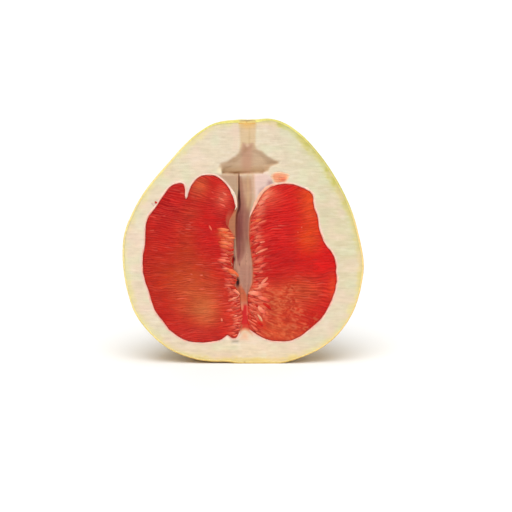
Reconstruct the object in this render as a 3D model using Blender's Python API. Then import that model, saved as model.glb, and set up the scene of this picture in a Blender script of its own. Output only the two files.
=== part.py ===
"""Half of a red pomelo, cut from stem to blossom end and standing on its base.

Millimetres are used throughout and turned into metres when a mesh is made. The fruit's
axis is Z, the cut face lies on Y = 0 and the fruit lies behind it, towards +Y. Azimuth is
measured round the axis, from the right of the cut face (0) over the back to its left (180).
"""

import math
from collections import namedtuple

import bmesh
import bpy
import numpy as np

MM = 0.001
GAP = 0.3
DEEP_GAP = 0.8
SIDE_TAPER = 0.5

# The whole half
BACK_DEPTH = 75.0
STEM_HEIGHT = 151.8
STEM_OFFSET = 1.6
CENTRE_HEIGHT = 70.0
FLAT_BACK = 40.0

# Outlines of the cut face from the blossom end up to the stem, as (x, z)
RIGHT_OUTLINE = (
    (0.0, -0.6), (14.0, -0.6), (26.0, 0.7), (36.1, 3.9), (47.3, 9.2), (57.3, 17.2),
    (67.0, 31.0), (72.6, 48.0), (74.3, 62.0), (71.6, 78.8), (66.5, 96.5), (56.6, 115.7),
    (44.7, 133.0), (33.3, 145.0), (24.5, 151.0), (14.8, 153.6), (7.5, 152.4),
    (STEM_OFFSET, STEM_HEIGHT),
)
LEFT_OUTLINE = (
    (0.0, -0.6), (-14.0, -0.4), (-26.0, 1.2), (-35.3, 3.8), (-44.2, 7.4), (-52.5, 12.8),
    (-60.9, 21.2), (-67.8, 31.0), (-73.0, 46.0), (-75.7, 66.9), (-74.8, 81.0),
    (-70.0, 94.0), (-62.1, 107.9), (-54.8, 117.3), (-46.6, 126.6), (-38.8, 135.5),
    (-28.5, 144.8), (-19.0, 150.4), (-9.5, 151.9), (STEM_OFFSET, STEM_HEIGHT),
)
BACK_OUTLINE = (
    (0.0, -0.6), (20.0, -0.6), (FLAT_BACK, -0.1), (52.0, 6.5), (62.0, 18.0), (70.0, 34.0),
    (74.5, 52.0), (BACK_DEPTH, 68.0), (72.5, 86.0), (66.0, 103.0), (55.0, 120.0),
    (42.0, 134.5), (30.0, 144.5), (19.0, 150.5), (8.0, 152.3), (0.0, STEM_HEIGHT),
)

# Skin
LUMP_HEIGHT = 0.9
LUMPS = 5
SCAR_RADIUS = 4.4
SCAR_EDGE = 0.7
SCAR_RISE = 0.5
SKIN_ROWS = 42
SKIN_COLUMNS = 32

# Edges of a pulp lobe, as (distance from the axis, z); the left lobe's top has a notch
Lobe = namedtuple("Lobe", "inner outer bottom top")
LEFT_LOBE = Lobe(
    inner=((2.8, 18.5), (1.4, 31.0), (2.8, 43.0), (5.5, 52.0), (7.4, 62.0), (6.5, 72.0),
           (7.5, 82.0), (9.0, 88.0), (7.0, 94.0), (5.2, 99.0)),
    outer=((47.1, 21.6), (55.2, 32.9), (60.1, 46.7), (63.3, 64.0), (61.6, 78.0),
           (58.9, 92.4), (52.0, 103.7)),
    bottom=((2.8, 18.5), (6.5, 16.6), (17.1, 14.7), (28.4, 13.2), (39.6, 16.0),
            (47.1, 21.6)),
    top=((5.2, 99.0), (6.8, 105.6), (9.0, 109.3), (12.8, 114.4), (17.1, 117.3),
         (22.1, 118.1), (27.7, 117.5), (31.4, 115.0), (33.4, 112.0), (35.0, 107.0),
         (36.4, 103.0), (37.4, 107.0), (38.2, 112.3), (41.5, 113.6), (46.2, 110.6),
         (52.0, 103.7)),
)
RIGHT_LOBE = Lobe(
    inner=((4.1, 21.0), (2.0, 28.0), (1.9, 42.9), (4.7, 51.1), (5.8, 60.0), (4.6, 69.0),
           (2.9, 78.0), (3.2, 90.0), (8.4, 102.4)),
    outer=((46.4, 28.5), (53.3, 39.8), (57.0, 51.1), (56.6, 59.8), (53.9, 68.0),
           (48.9, 75.5), (45.2, 84.3), (43.6, 95.6), (41.4, 105.6)),
    bottom=((4.1, 21.0), (10.9, 16.0), (19.6, 14.1), (29.6, 14.7), (37.7, 18.5),
            (46.4, 28.5)),
    top=((8.4, 102.4), (10.8, 106.2), (13.6, 109.0), (16.5, 110.8), (19.6, 111.9),
         (22.5, 112.4), (25.3, 112.6), (28.0, 112.5), (30.5, 112.1), (33.0, 111.4),
         (35.2, 110.6), (37.2, 109.5), (38.8, 108.3), (40.0, 107.2), (40.8, 106.4),
         (41.4, 105.6)),
)
DEEP_LOBE = Lobe(
    inner=((7.0, 22.0), (7.0, 40.0), (7.0, 60.0), (7.0, 80.0), (8.0, 97.0)),
    outer=((46.0, 27.0), (54.0, 40.0), (59.5, 56.0), (60.5, 66.0), (58.0, 78.0),
           (54.0, 88.0), (46.0, 98.0)),
    bottom=((7.0, 22.0), (14.0, 16.0), (24.0, 14.0), (35.0, 16.5), (46.0, 27.0)),
    top=((8.0, 97.0), (13.0, 106.0), (22.0, 111.0), (32.0, 111.0), (41.0, 105.0),
         (46.0, 98.0)),
)

# How the pulp is divided behind the cut face
CUT_SEGMENT_ANGLE = 20.0
WHOLE_SEGMENTS = 6
EDGE_KNOTS = 16
WHOLE_SEGMENT_KNOTS = 9

# Juice vesicles on the cut face: rows of ridges, broken into beads along each row
VESICLE_ROWS = 30
VESICLES_PER_ROW = 3.2
VESICLE_HEIGHT = 1.2
VESICLE_LOWEST = 0.4
FURROW_DEPTH = 0.3
ROW_STAGGER = 0.309
TIP_BEAT = 2.4
TIP_LENGTH = 2.0
TIP_SHARE_OF_CORE = 0.55
TIP_HEIGHTS = (26.0, 94.0)

# Salmon oval: the end of the first whole segment, as (y, z, half width, half height)
OVAL_X = 21.5
OVAL_PATH = ((0.0, 117.8, 5.3, 3.1), (5.5, 117.6, 5.3, 3.3), (10.5, 115.4, 4.8, 3.6),
             (14.5, 109.0, 3.8, 4.2))
OVAL_SIDES = 12

# Hollow under the stem: its outline on the cut face, and its depth at the top and bottom
HOLLOW_OUTLINE = ((1.7, 136.5), (-3.2, 131.5), (-9.5, 127.2), (-15.6, 123.0), (-15.4, 120.6),
                  (-2.8, 119.6), (12.2, 120.2), (15.5, 122.6), (19.4, 126.6), (11.5, 131.4),
                  (6.0, 133.2))
HOLLOW_TOP_DEPTH = 0.6
HOLLOW_BOTTOM_DEPTH = 9.0
HOLLOW_DRAFT = 0.93

# Trough over the core, as (z, left, right, depth), and the crack beside the core
CORE_TROUGH = (
    (21.5, -3.6, 4.6, 0.4), (26.0, -3.0, 4.2, 2.4), (44.0, -4.2, 3.6, 2.4),
    (54.0, -7.0, 6.6, 2.4), (62.0, -8.6, 7.0, 2.4), (74.0, -7.6, 5.0, 2.4),
    (88.0, -10.0, 4.6, 2.4), (96.5, -7.2, 6.6, 1.9), (101.0, -4.0, 5.6, 0.6),
    (119.4, -4.2, 5.0, 0.6), (120.4, -4.2, 5.0, 0.6),
)
CRACK = ((58.0, -4.6, -3.6, 3.0), (74.0, -4.6, -2.8, 4.2), (98.0, -4.4, -2.6, 4.4),
         (112.0, -3.9, -2.7, 4.0), (120.2, -3.4, -2.7, 3.0))
CUTTER_REACH = 1.5

SKIN_YELLOW = (0.93, 0.66, 0.06)
PITH_CREAM = (0.83, 0.74, 0.55)
PULP_RED = (0.62, 0.05, 0.03)
PULP_CORAL = (0.78, 0.16, 0.08)


def clear_scene():
    """Remove every object of the open file."""
    for item in list(bpy.data.objects):
        bpy.data.objects.remove(item, do_unlink=True)


def make_material(name, colour, roughness):
    """A Principled material with one colour and roughness."""
    material = bpy.data.materials.new(name)
    material.use_nodes = True
    shader = material.node_tree.nodes["Principled BSDF"]
    shader.inputs["Base Color"].default_value = (*colour, 1.0)
    shader.inputs["Roughness"].default_value = roughness
    shader.inputs["Metallic"].default_value = 0.0
    return material


def make_object(name, points, faces, materials, slot=0):
    """A closed mesh object from points in millimetres, with its faces turned outwards."""
    form = bmesh.new()
    corners = [form.verts.new([value * MM for value in point]) for point in points]
    for face in faces:
        made = form.faces.new([corners[index] for index in face])
        made.material_index = slot
    bmesh.ops.recalc_face_normals(form, faces=form.faces)
    mesh = bpy.data.meshes.new(name)
    form.to_mesh(mesh)
    form.free()
    for material in materials:
        mesh.materials.append(material)
    mesh.shade_smooth()
    mesh.set_sharp_from_angle(angle=math.radians(40))
    item = bpy.data.objects.new(name, mesh)
    bpy.context.collection.objects.link(item)
    return item


def combine(target, tool, operation):
    """Join a tool to a target, or cut it out, and keep the tool as a hidden guide."""
    tool.hide_render = True
    tool.display_type = "WIRE"
    step = target.modifiers.new(tool.name, "BOOLEAN")
    step.operation = operation
    step.object = tool


def smooth(known, values, wanted):
    """A cubic curve through values at rising places, with the chord's slope at each one."""
    known = np.asarray(known, dtype=float)
    values = np.asarray(values, dtype=float)
    wanted = np.clip(wanted, known[0], known[-1])
    slopes = np.gradient(values, known)
    index = np.clip(np.searchsorted(known, wanted) - 1, 0, len(known) - 2)
    width = known[index + 1] - known[index]
    part = (wanted - known[index]) / width
    start = (1 + 2 * part) * (1 - part) ** 2 * values[index]
    start_slope = part * (1 - part) ** 2 * width * slopes[index]
    end = part ** 2 * (3 - 2 * part) * values[index + 1]
    end_slope = part ** 2 * (part - 1) * width * slopes[index + 1]
    return start + start_slope + end + end_slope


def axis_offset(height):
    """How far the fruit's axis leans to the right at a height; the stem is off centre."""
    return STEM_OFFSET * (np.asarray(height) / STEM_HEIGHT) ** 2


def outline_distance(outline, angles, leans=True):
    """Distance from the fruit's centre to an outline, at angles measured from straight down."""
    points = np.array(outline)
    offset = axis_offset(points[:, 1]) if leans else 0.0
    across = np.abs(points[:, 0] - offset)
    up = points[:, 1] - CENTRE_HEIGHT
    known = np.arctan2(across, -up)
    return smooth(known, np.hypot(across, up), angles)


def skin_angles():
    """Angles of the skin's rows, with close rows at the rim of the stem scar."""
    top = STEM_HEIGHT - CENTRE_HEIGHT
    scar = [SCAR_RADIUS + SCAR_EDGE, SCAR_RADIUS, SCAR_RADIUS / 2]
    last = math.pi - 2.0 * scar[0] / top
    even = np.linspace(0.0, last, SKIN_ROWS)[1:]
    return np.concatenate([even, math.pi - np.array(scar) / top])


def skin_points(angles, azimuths):
    """Skin points for every angle and azimuth.

    The distance from the centre is the right or left outline's at the cut face, shared out
    by (1 + cos azimuth) / 2, and goes over to the back outline's by the square of the sine.
    Low lumps stand round the stem end, and the stem scar is raised.
    """
    azimuths = np.asarray(azimuths)[None, :]
    right = outline_distance(RIGHT_OUTLINE, angles)[:, None]
    left = outline_distance(LEFT_OUTLINE, angles)[:, None]
    back = outline_distance(BACK_OUTLINE, angles, leans=False)[:, None]
    share = (1 + np.cos(azimuths)) / 2
    behind = np.sin(azimuths) ** 2
    distance = (share * right + (1 - share) * left) * (1 - behind) + back * behind
    angle = np.asarray(angles)[:, None]
    shoulder = np.exp(-((angle - math.radians(140)) / math.radians(20)) ** 2)
    distance = distance + LUMP_HEIGHT * shoulder * behind * np.cos(2 * LUMPS * azimuths)
    radius = distance * np.sin(angle)
    rim = np.clip((SCAR_RADIUS + SCAR_EDGE - radius) / SCAR_EDGE, 0, 1) * (angle > 2)
    distance = distance + SCAR_RISE * rim
    height = np.maximum(CENTRE_HEIGHT - distance * np.cos(angle), 0.0)
    radius = distance * np.sin(angle)
    x = radius * np.cos(azimuths) + axis_offset(height)
    y = radius * np.sin(azimuths)
    return np.stack([x, y, height], axis=-1)


def make_rind_blank(materials):
    """The whole half as one solid, with its cut face flat."""
    azimuths = np.linspace(0.0, math.pi, SKIN_COLUMNS + 1)
    grid = skin_points(skin_angles(), azimuths)
    grid[:, (0, -1), 1] = 0.0
    rows, columns = grid.shape[:2]
    points = [tuple(point) for point in grid.reshape(-1, 3)]
    bottom = len(points)
    points.append((0.0, 0.0, 0.0))
    stem = len(points)
    points.append((STEM_OFFSET, 0.0, STEM_HEIGHT + SCAR_RISE))

    def at(row, column):
        return row * columns + column

    faces = []
    for column in range(columns - 1):
        faces.append((bottom, at(0, column), at(0, column + 1)))
        faces.append((stem, at(rows - 1, column + 1), at(rows - 1, column)))
        for row in range(rows - 1):
            faces.append((at(row, column), at(row + 1, column),
                          at(row + 1, column + 1), at(row, column + 1)))
    right = [at(row, 0) for row in range(rows)]
    left = [at(row, columns - 1) for row in reversed(range(rows))]
    faces.append([bottom, *right, stem, *left])
    rind = make_object("rind", points, faces, materials)
    rind.data.polygons[len(faces) - 1].material_index = 1
    return rind


def edge_points(edge, fractions, knots, axis):
    """Points on a lobe's edge at fractions of its rise (axis 1) or of its width (axis 0).

    The edge is a smooth curve read at the knots and straight between them, so that every
    solid that follows it has the same flats.
    """
    points = np.array(edge)
    first, last = points[0, axis], points[-1, axis]
    known = (points[:, axis] - first) / (last - first)
    other = np.interp(fractions, knots, smooth(known, points[:, 1 - axis], knots))
    along = first + (last - first) * np.asarray(fractions)
    pair = (other, along) if axis == 1 else (along, other)
    return np.stack(pair, axis=-1)


def lobe_grid(lobe, across, up):
    """Points of a lobe as (distance from the axis, z), one row for each height.

    A Coons patch: the inner and outer edges shared out across, plus the bend of the bottom
    and of the top edge, each measured from the straight line between its ends. The bends
    fade by a cube, so that the rows are nearly straight at mid height.
    """
    even = np.linspace(0.0, 1.0, EDGE_KNOTS)
    inner = edge_points(lobe.inner, up, even, 1)[:, None]
    outer = edge_points(lobe.outer, up, even, 1)[:, None]
    bottom = edge_points(lobe.bottom, across, across, 0)[None]
    top = edge_points(lobe.top, across, across, 0)[None]
    u = np.asarray(across)[None, :, None]
    v = np.asarray(up)[:, None, None]
    low_bend = bottom - (1 - u) * bottom[:, :1] - u * bottom[:, -1:]
    high_bend = top - (1 - u) * top[:, :1] - u * top[:, -1:]
    return (1 - u) * inner + u * outer + (1 - v) ** 3 * low_bend + v ** 3 * high_bend


def grid_rim(grid):
    """The closed border of a grid: bottom outwards, outer edge up, top inwards, inner down."""
    return np.concatenate([grid[0], grid[1:, -1], grid[-1, -2::-1], grid[-2:0:-1, 0]])


def columns_of(lobe):
    """Fractions across a lobe at which its top edge has its points."""
    radii = np.array(lobe.top)[:, 0]
    return (radii - radii[0]) / (radii[-1] - radii[0])


def widened(rim, amount):
    """A closed outline moved outwards by an amount, with mitred corners."""
    step = np.roll(rim, -1, axis=0) - rim
    normal = np.stack([step[:, 1], -step[:, 0]], axis=-1)
    normal /= np.linalg.norm(normal, axis=1)[:, None]
    before = np.roll(normal, 1, axis=0)
    corner = normal + before
    corner /= (1 + np.sum(normal * before, axis=1))[:, None]
    return rim + amount * corner


def turned(points, azimuth, sideways=0.0):
    """Points (distance from the axis, z) placed at an azimuth, or moved sideways from it."""
    radius, height = points[..., 0], points[..., 1]
    x = radius * math.cos(azimuth) - sideways * math.sin(azimuth)
    y = radius * math.sin(azimuth) + sideways * math.cos(azimuth)
    return np.stack([x, y, height], axis=-1)


def strip_faces(near, far):
    """Triangles between two closed rims, given by their points' numbers.

    Every diagonal runs from a near point to the far point one further on, so that a solid
    and the space cut for it bend alike.
    """
    near_next, far_next = np.roll(near, -1), np.roll(far, -1)
    first = np.stack([near, near_next, far_next], axis=-1)
    second = np.stack([near, far_next, far], axis=-1)
    return [*first.tolist(), *second.tolist()]


def make_swept(name, rims, materials, slot=0):
    """A solid through a row of closed rims, closed by a flat face at each end.

    The second half's diagonals mirror the first half's.
    """
    number = np.arange(len(rims) * len(rims[0])).reshape(len(rims), -1)
    faces = [number[0].tolist(), number[-1].tolist()]
    half = (len(rims) - 1) / 2
    for step in range(len(rims) - 1):
        near, far = (step, step + 1) if step < half else (step + 1, step)
        faces += strip_faces(number[near], number[far])
    return make_object(name, np.concatenate(rims), faces, materials, slot)


def deep_rim(azimuth, up, across_step=1):
    """The pulp's rim behind the cut segments at an azimuth."""
    share = (1 + math.cos(azimuth)) / 2
    across = share * columns_of(RIGHT_LOBE) + (1 - share) * columns_of(LEFT_LOBE)
    return grid_rim(lobe_grid(DEEP_LOBE, across[::across_step], up))


def segment_borders():
    """Azimuths of the radial planes between the whole segments, right to left."""
    first = math.radians(CUT_SEGMENT_ANGLE)
    return np.linspace(first, math.pi - first, WHOLE_SEGMENTS + 1)


def make_pulp_cutter(materials):
    """The space of all the pulp, wider than it by the gap, open at the cut face."""
    up = np.linspace(0.0, 1.0, EDGE_KNOTS)
    right = widened(grid_rim(lobe_grid(RIGHT_LOBE, columns_of(RIGHT_LOBE), up)), GAP)
    left = widened(grid_rim(lobe_grid(LEFT_LOBE, columns_of(LEFT_LOBE), up)), GAP)
    right, left = turned(right, 0.0), turned(left, math.pi)
    ahead = np.array([0.0, -CUTTER_REACH, 0.0])
    borders = segment_borders()
    halves = np.sort(np.concatenate([borders, (borders[1:] + borders[:-1]) / 2]))
    deep = [turned(widened(deep_rim(azimuth, up), DEEP_GAP), azimuth) for azimuth in halves]
    rims = [right + ahead, right, (right + deep[0]) / 2]
    rims += deep
    rims += [(left + deep[-1]) / 2, left, left + ahead]
    return make_swept("pulp_space", rims, materials, slot=1)


def vesicle_relief(rows, across):
    """Height of the vesicles and reach of their tips, for the points of a lobe's grid.

    Every second row is a ridge and the rows between are furrows. Along a ridge the height
    follows a squared sine, one beat for each vesicle, which starts later from ridge to
    ridge. The border is level with the cut, but for the ridges' ends beside the core, and
    the furrows get shallow towards it.
    """
    row = np.arange(rows)[:, None]
    up = row / (rows - 1)
    across = np.asarray(across)[None, :]
    ridge = (row % 2).astype(float)
    beat = across * VESICLES_PER_ROW + row * ROW_STAGGER
    swell = VESICLE_LOWEST + (1 - VESICLE_LOWEST) * np.sin(math.pi * beat) ** 2
    inside = 16 * across * (1 - across) * up * (1 - up)
    height = VESICLE_HEIGHT * ridge * swell - FURROW_DEPTH * (1 - ridge) * inside
    height[:, 0] = VESICLE_HEIGHT * VESICLE_LOWEST * ridge[:, 0]
    height[:, -1] = 0.0
    height[(0, -1), :] = 0.0
    reach = ridge[:, 0] * (0.65 + 0.35 * np.sin(row[:, 0] * TIP_BEAT))
    return height, reach


def make_cut_segment(name, lobe, azimuth, behind, materials):
    """A pulp segment that the cut opened: vesicle relief in front, a flat side behind."""
    across = columns_of(lobe)
    rows = 2 * VESICLE_ROWS + 1
    up = np.linspace(0.0, 1.0, rows)
    flat = lobe_grid(lobe, across, up)
    height, reach = vesicle_relief(rows, across)
    front = flat.copy()
    beside_core = (flat[:, 0, 1] > TIP_HEIGHTS[0]) & (flat[:, 0, 1] < TIP_HEIGHTS[1])
    longest = np.minimum(TIP_LENGTH, TIP_SHARE_OF_CORE * flat[:, 0, 0])
    front[:, 0, 0] -= reach * longest * beside_core
    face = turned(front, azimuth)
    face[..., 1] = -height
    share = (1 + math.cos(behind)) / 2
    columns = share * columns_of(RIGHT_LOBE) + (1 - share) * columns_of(LEFT_LOBE)
    inward = math.copysign(GAP / 2, azimuth - behind)
    far = turned(grid_rim(lobe_grid(DEEP_LOBE, columns, up)), behind, inward)
    middle = (turned(widened(grid_rim(flat), -SIDE_TAPER), azimuth) + far) / 2

    number = np.arange(rows * len(across)).reshape(rows, -1)
    quads = np.stack([number[:-1, :-1], number[:-1, 1:], number[1:, 1:], number[1:, :-1]], -1)
    rim = grid_rim(number[..., None])[:, 0]
    middle_rim = number.size + np.arange(len(rim))
    far_rim = middle_rim + len(rim)
    faces = quads.reshape(-1, 4).tolist()
    faces += strip_faces(rim, middle_rim)
    faces += strip_faces(middle_rim, far_rim)
    faces.append(far_rim.tolist())
    points = np.concatenate([face.reshape(-1, 3), middle, far])
    return make_object(name, points, faces, materials)


def make_whole_segment(name, start, end, materials):
    """An uncut segment between two radial planes, half a gap clear of each."""
    up = np.linspace(0.0, 1.0, WHOLE_SEGMENT_KNOTS)
    middle = (start + end) / 2
    places = ((start, GAP / 2), (middle, 0.0), (end, -GAP / 2))
    rims = [turned(deep_rim(azimuth, up, 3), azimuth, side) for azimuth, side in places]
    return make_swept(name, rims, materials)


def oval_rims(extra, reach):
    """Rims along the salmon oval's path, wider by an amount and reaching ahead of the cut."""
    turn = np.linspace(0.0, 2 * math.pi, OVAL_SIDES, endpoint=False)
    rims = []
    for y, z, half_width, half_height in OVAL_PATH:
        x = OVAL_X + (half_width + extra) * np.cos(turn)
        height = z + (half_height + extra) * np.sin(turn)
        rims.append(np.stack([x, np.full_like(x, y), height], axis=-1))
    if reach:
        rims.insert(0, rims[0] - np.array([0.0, reach, 0.0]))
    return rims


def make_channel(name, stations, materials):
    """A cutter for a groove in the cut face, from stations (z, left, right, depth)."""
    rims = []
    for z, left, right, depth in stations:
        rims.append(np.array([(left, -CUTTER_REACH, z), (right, -CUTTER_REACH, z),
                              (right, depth, z), (left, depth, z)]))
    return make_swept(name, rims, materials, slot=1)


def make_hollow_cutter(materials):
    """The hollow under the stem, which gets deeper downwards."""
    outline = np.array(HOLLOW_OUTLINE)
    middle = outline.mean(axis=0)
    low, high = outline[:, 1].min(), outline[:, 1].max()
    depth = np.interp(outline[:, 1], (low, high), (HOLLOW_BOTTOM_DEPTH, HOLLOW_TOP_DEPTH))
    back = middle + (outline - middle) * HOLLOW_DRAFT
    back[:, 1] = np.maximum(back[:, 1], low)
    front = np.stack([outline[:, 0], np.full(len(outline), -CUTTER_REACH), outline[:, 1]], -1)
    deep = np.stack([back[:, 0], depth, back[:, 1]], axis=-1)
    return make_swept("hollow_space", [front, deep], materials, slot=1)


def make_rind(materials):
    """Rind with its core: the half, less the pulp's space, the hollow, trough and crack."""
    rind = make_rind_blank(materials)
    oval_space = make_swept("oval_space", oval_rims(GAP, CUTTER_REACH), materials, slot=1)
    combine(rind, make_pulp_cutter(materials), "DIFFERENCE")
    combine(rind, oval_space, "DIFFERENCE")
    combine(rind, make_hollow_cutter(materials), "DIFFERENCE")
    combine(rind, make_channel("trough_space", CORE_TROUGH, materials), "DIFFERENCE")
    combine(rind, make_channel("crack_space", CRACK, materials), "DIFFERENCE")
    return rind


def make_pulp():
    """The two cut segments and the whole ones behind them, right to left."""
    red = make_material("cut_pulp_red", PULP_RED, 0.3)
    coral = make_material("whole_segment_coral", PULP_CORAL, 0.45)
    borders = segment_borders()
    pieces = [
        make_cut_segment("cut_segment_right", RIGHT_LOBE, 0.0, borders[0], [red]),
        make_cut_segment("cut_segment_left", LEFT_LOBE, math.pi, borders[-1], [red]),
    ]
    for number in range(WHOLE_SEGMENTS):
        name = f"whole_segment_{number + 1}"
        pieces.append(make_whole_segment(name, borders[number], borders[number + 1], [coral]))
    oval = make_swept("oval_end", oval_rims(0.0, 0.0), [coral])
    combine(pieces[2], oval, "UNION")
    return pieces


def stand_on_origin(pieces):
    """Carry all pieces on an empty that puts the middle of their box's foot at the origin."""
    corners = np.array([vertex.co for piece in pieces for vertex in piece.data.vertices])
    low, high = corners.min(axis=0), corners.max(axis=0)
    holder = bpy.data.objects.new("pomelo_half", None)
    bpy.context.collection.objects.link(holder)
    holder.location = (-(low[0] + high[0]) / 2, -(low[1] + high[1]) / 2, -low[2])
    for item in list(bpy.data.objects):
        if item is not holder:
            item.parent = holder


def main():
    """Build the half."""
    clear_scene()
    skin = make_material("skin_yellow", SKIN_YELLOW, 0.35)
    pith = make_material("pith_cream", PITH_CREAM, 0.75)
    pieces = [make_rind([skin, pith]), *make_pulp()]
    stand_on_origin(pieces)


main()
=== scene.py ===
"""Half of a red pomelo: skin, pith, the two opened pulp segments and their juice vesicles.

Shapes are worked out in the fruit's own millimetres: Z is its axis, the cut face lies on
Y = 0 and the fruit lies behind it, towards +Y. They move into the frame, in metres, when a
mesh is made. Azimuth runs from the right of the cut face (0) over the back to its left (pi).
"""

import itertools
import logging
import math
from dataclasses import dataclass
from enum import Enum

import bpy
import numpy as np
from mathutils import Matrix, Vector


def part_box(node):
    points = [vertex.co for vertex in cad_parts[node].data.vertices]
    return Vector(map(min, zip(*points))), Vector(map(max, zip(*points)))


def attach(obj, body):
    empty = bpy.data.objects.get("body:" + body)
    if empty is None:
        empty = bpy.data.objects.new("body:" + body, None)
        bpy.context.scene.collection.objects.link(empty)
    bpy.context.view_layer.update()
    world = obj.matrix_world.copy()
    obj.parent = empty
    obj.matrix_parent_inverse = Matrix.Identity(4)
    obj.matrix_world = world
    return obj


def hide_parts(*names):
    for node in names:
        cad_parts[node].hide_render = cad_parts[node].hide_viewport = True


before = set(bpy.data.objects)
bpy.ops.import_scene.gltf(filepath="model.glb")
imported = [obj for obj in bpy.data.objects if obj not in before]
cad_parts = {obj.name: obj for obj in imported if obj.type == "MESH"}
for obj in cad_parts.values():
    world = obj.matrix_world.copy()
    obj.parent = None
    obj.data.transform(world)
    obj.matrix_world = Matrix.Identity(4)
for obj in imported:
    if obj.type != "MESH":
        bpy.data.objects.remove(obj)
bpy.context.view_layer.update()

Array = np.ndarray
Curve = tuple[tuple[float, float], ...]
Colour = tuple[float, float, float]
Place = tuple[float, float, float]
Socket = bpy.types.NodeSocket
# A channel's edges and depth, or share, at rising heights, as (z, left, right, depth)
Stations = tuple[tuple[float, float, float, float], ...]

MM = 0.001
# The rind's lowest corner in the fruit's own millimetres
RIND_CORNER = (-75.714, 0.0, 0.0)
# How bright a white upright face is in the studio, and the sheen that it adds to a colour
STUDIO_LIGHT = 1.25
STUDIO_SHEEN = 0.015
# The range that most of a noise texture's values lie in
NOISE_RANGE = (0.3, 0.7)

log = logging.getLogger("pomelo")


class Slot(Enum):
    """The material slots of the part."""

    RIND = "rind"
    PITH = "pith"
    CUT_PULP = "cut_pulp"
    WHOLE_PULP = "whole_pulp"


class Side(Enum):
    """The side of the core that a lobe lies on, as the sign of its x."""

    LEFT = -1
    RIGHT = 1


def tone(red: float, green: float, blue: float) -> Colour:
    """Linear colour that looks like screen values from 0 to 255 on the cut face.

    A power of 2.4 above a small toe, less the studio's sheen, over the studio's light.
    """
    screen = (((value / 255 + 0.055) / 1.055) ** 2.4 for value in (red, green, blue))
    return tuple(max(value - STUDIO_SHEEN, 0.002) / STUDIO_LIGHT for value in screen)


def ease(value: Array, low: float, high: float) -> Array:
    """Smooth step from 0 at low to 1 at high: 3 t squared less 2 t cubed."""
    part = np.clip((np.asarray(value) - low) / (high - low), 0.0, 1.0)
    return part * part * (3 - 2 * part)


def hump(value: Array, middle: float, width: float) -> Array:
    """Bell of height 1 round a middle: e to the power of minus the squared distance."""
    return np.exp(-(((np.asarray(value) - middle) / width) ** 2))


def smooth(known: Array, values: Array, wanted: Array, tight: bool = False) -> Array:
    """A cubic curve through values at rising places, with the chord's slope at each one.

    Args:
        known: rising places.
        values: the value at each place.
        wanted: places to read the curve at.
        tight: whether a slope is kept under 3 times the gentler of its two chords'.

    Returns:
        The cubic Hermite blend of the two values and slopes round each wanted place.
    """
    known = np.asarray(known, dtype=float)
    values = np.asarray(values, dtype=float)
    wanted = np.clip(wanted, known[0], known[-1])
    slopes = np.gradient(values, known)
    if tight:
        chords = np.abs(np.diff(values) / np.diff(known))
        most = 3 * np.minimum(np.append(chords, chords[-1]), np.append(chords[0], chords))
        slopes = np.clip(slopes, -most, most)
    index = np.clip(np.searchsorted(known, wanted) - 1, 0, len(known) - 2)
    width = known[index + 1] - known[index]
    part = (wanted - known[index]) / width
    start = (1 + 2 * part) * (1 - part) ** 2 * values[index]
    start_slope = part * (1 - part) ** 2 * width * slopes[index]
    end = part**2 * (3 - 2 * part) * values[index + 1]
    end_slope = part**2 * (part - 1) * width * slopes[index + 1]
    return start + start_slope + end + end_slope


def chance(seed: int, *cells: Array) -> Array:
    """Repeatable numbers from 0 to 1, one for each set of whole-number cells.

    Each cell number is folded in by an exclusive or with a multiple of it, and the result is
    multiplied and shifted so that neighbours have nothing in common.
    """
    shape = np.broadcast(*cells).shape
    mix = np.full(shape, (seed + 1) * 7919, dtype=np.uint64)
    for cell, factor in zip(cells, (73856093, 19349663, 83492791)):
        whole = np.asarray(cell).astype(np.int64).astype(np.uint64)
        mix = (mix ^ (whole * np.uint64(factor))) * np.uint64(0x9E3779B97F4A7C15)
        mix = mix ^ (mix >> np.uint64(31))
    return (mix >> np.uint64(12)).astype(float) / 2.0**52


def drift(seed: int, *places: Array) -> Array:
    """Soft noise: chance numbers at whole places, blended smoothly between.

    Args:
        seed: number of the pattern.
        places: one array for each direction.

    Returns:
        Numbers from -1 to 1.
    """
    low = [np.floor(place) for place in places]
    part = [place - start for place, start in zip(places, low)]
    part = [value * value * (3 - 2 * value) for value in part]
    total = 0.0
    for corner in itertools.product((0, 1), repeat=len(places)):
        weight = 1.0
        for step, value in zip(corner, part):
            weight = weight * (value if step else 1 - value)
        cells = [start + step for start, step in zip(low, corner)]
        total = total + weight * chance(seed, *cells)
    return 2 * total - 1


@dataclass
class Sacs:
    """A surface divided into juice sacs.

    Attributes:
        gap: 0 on the border between two sacs, up to about 1 in a sac's middle.
        pick: a number from 0 to 1 that is the same all over a sac.
        lean: which side of its sac's middle line a point is on, below or above, from -1 to 1.
        near: distance from the sac's middle.
    """

    gap: Array
    pick: Array
    lean: Array
    near: Array

    def dome(self) -> Array:
        """Round height of a sac: the root of 1 less the squared distance, closed at its border."""
        round_top = np.sqrt(np.clip(1 - (self.near / 0.85) ** 2, 0, 1))
        return round_top * ease(self.gap, -0.06, 0.3)


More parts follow.
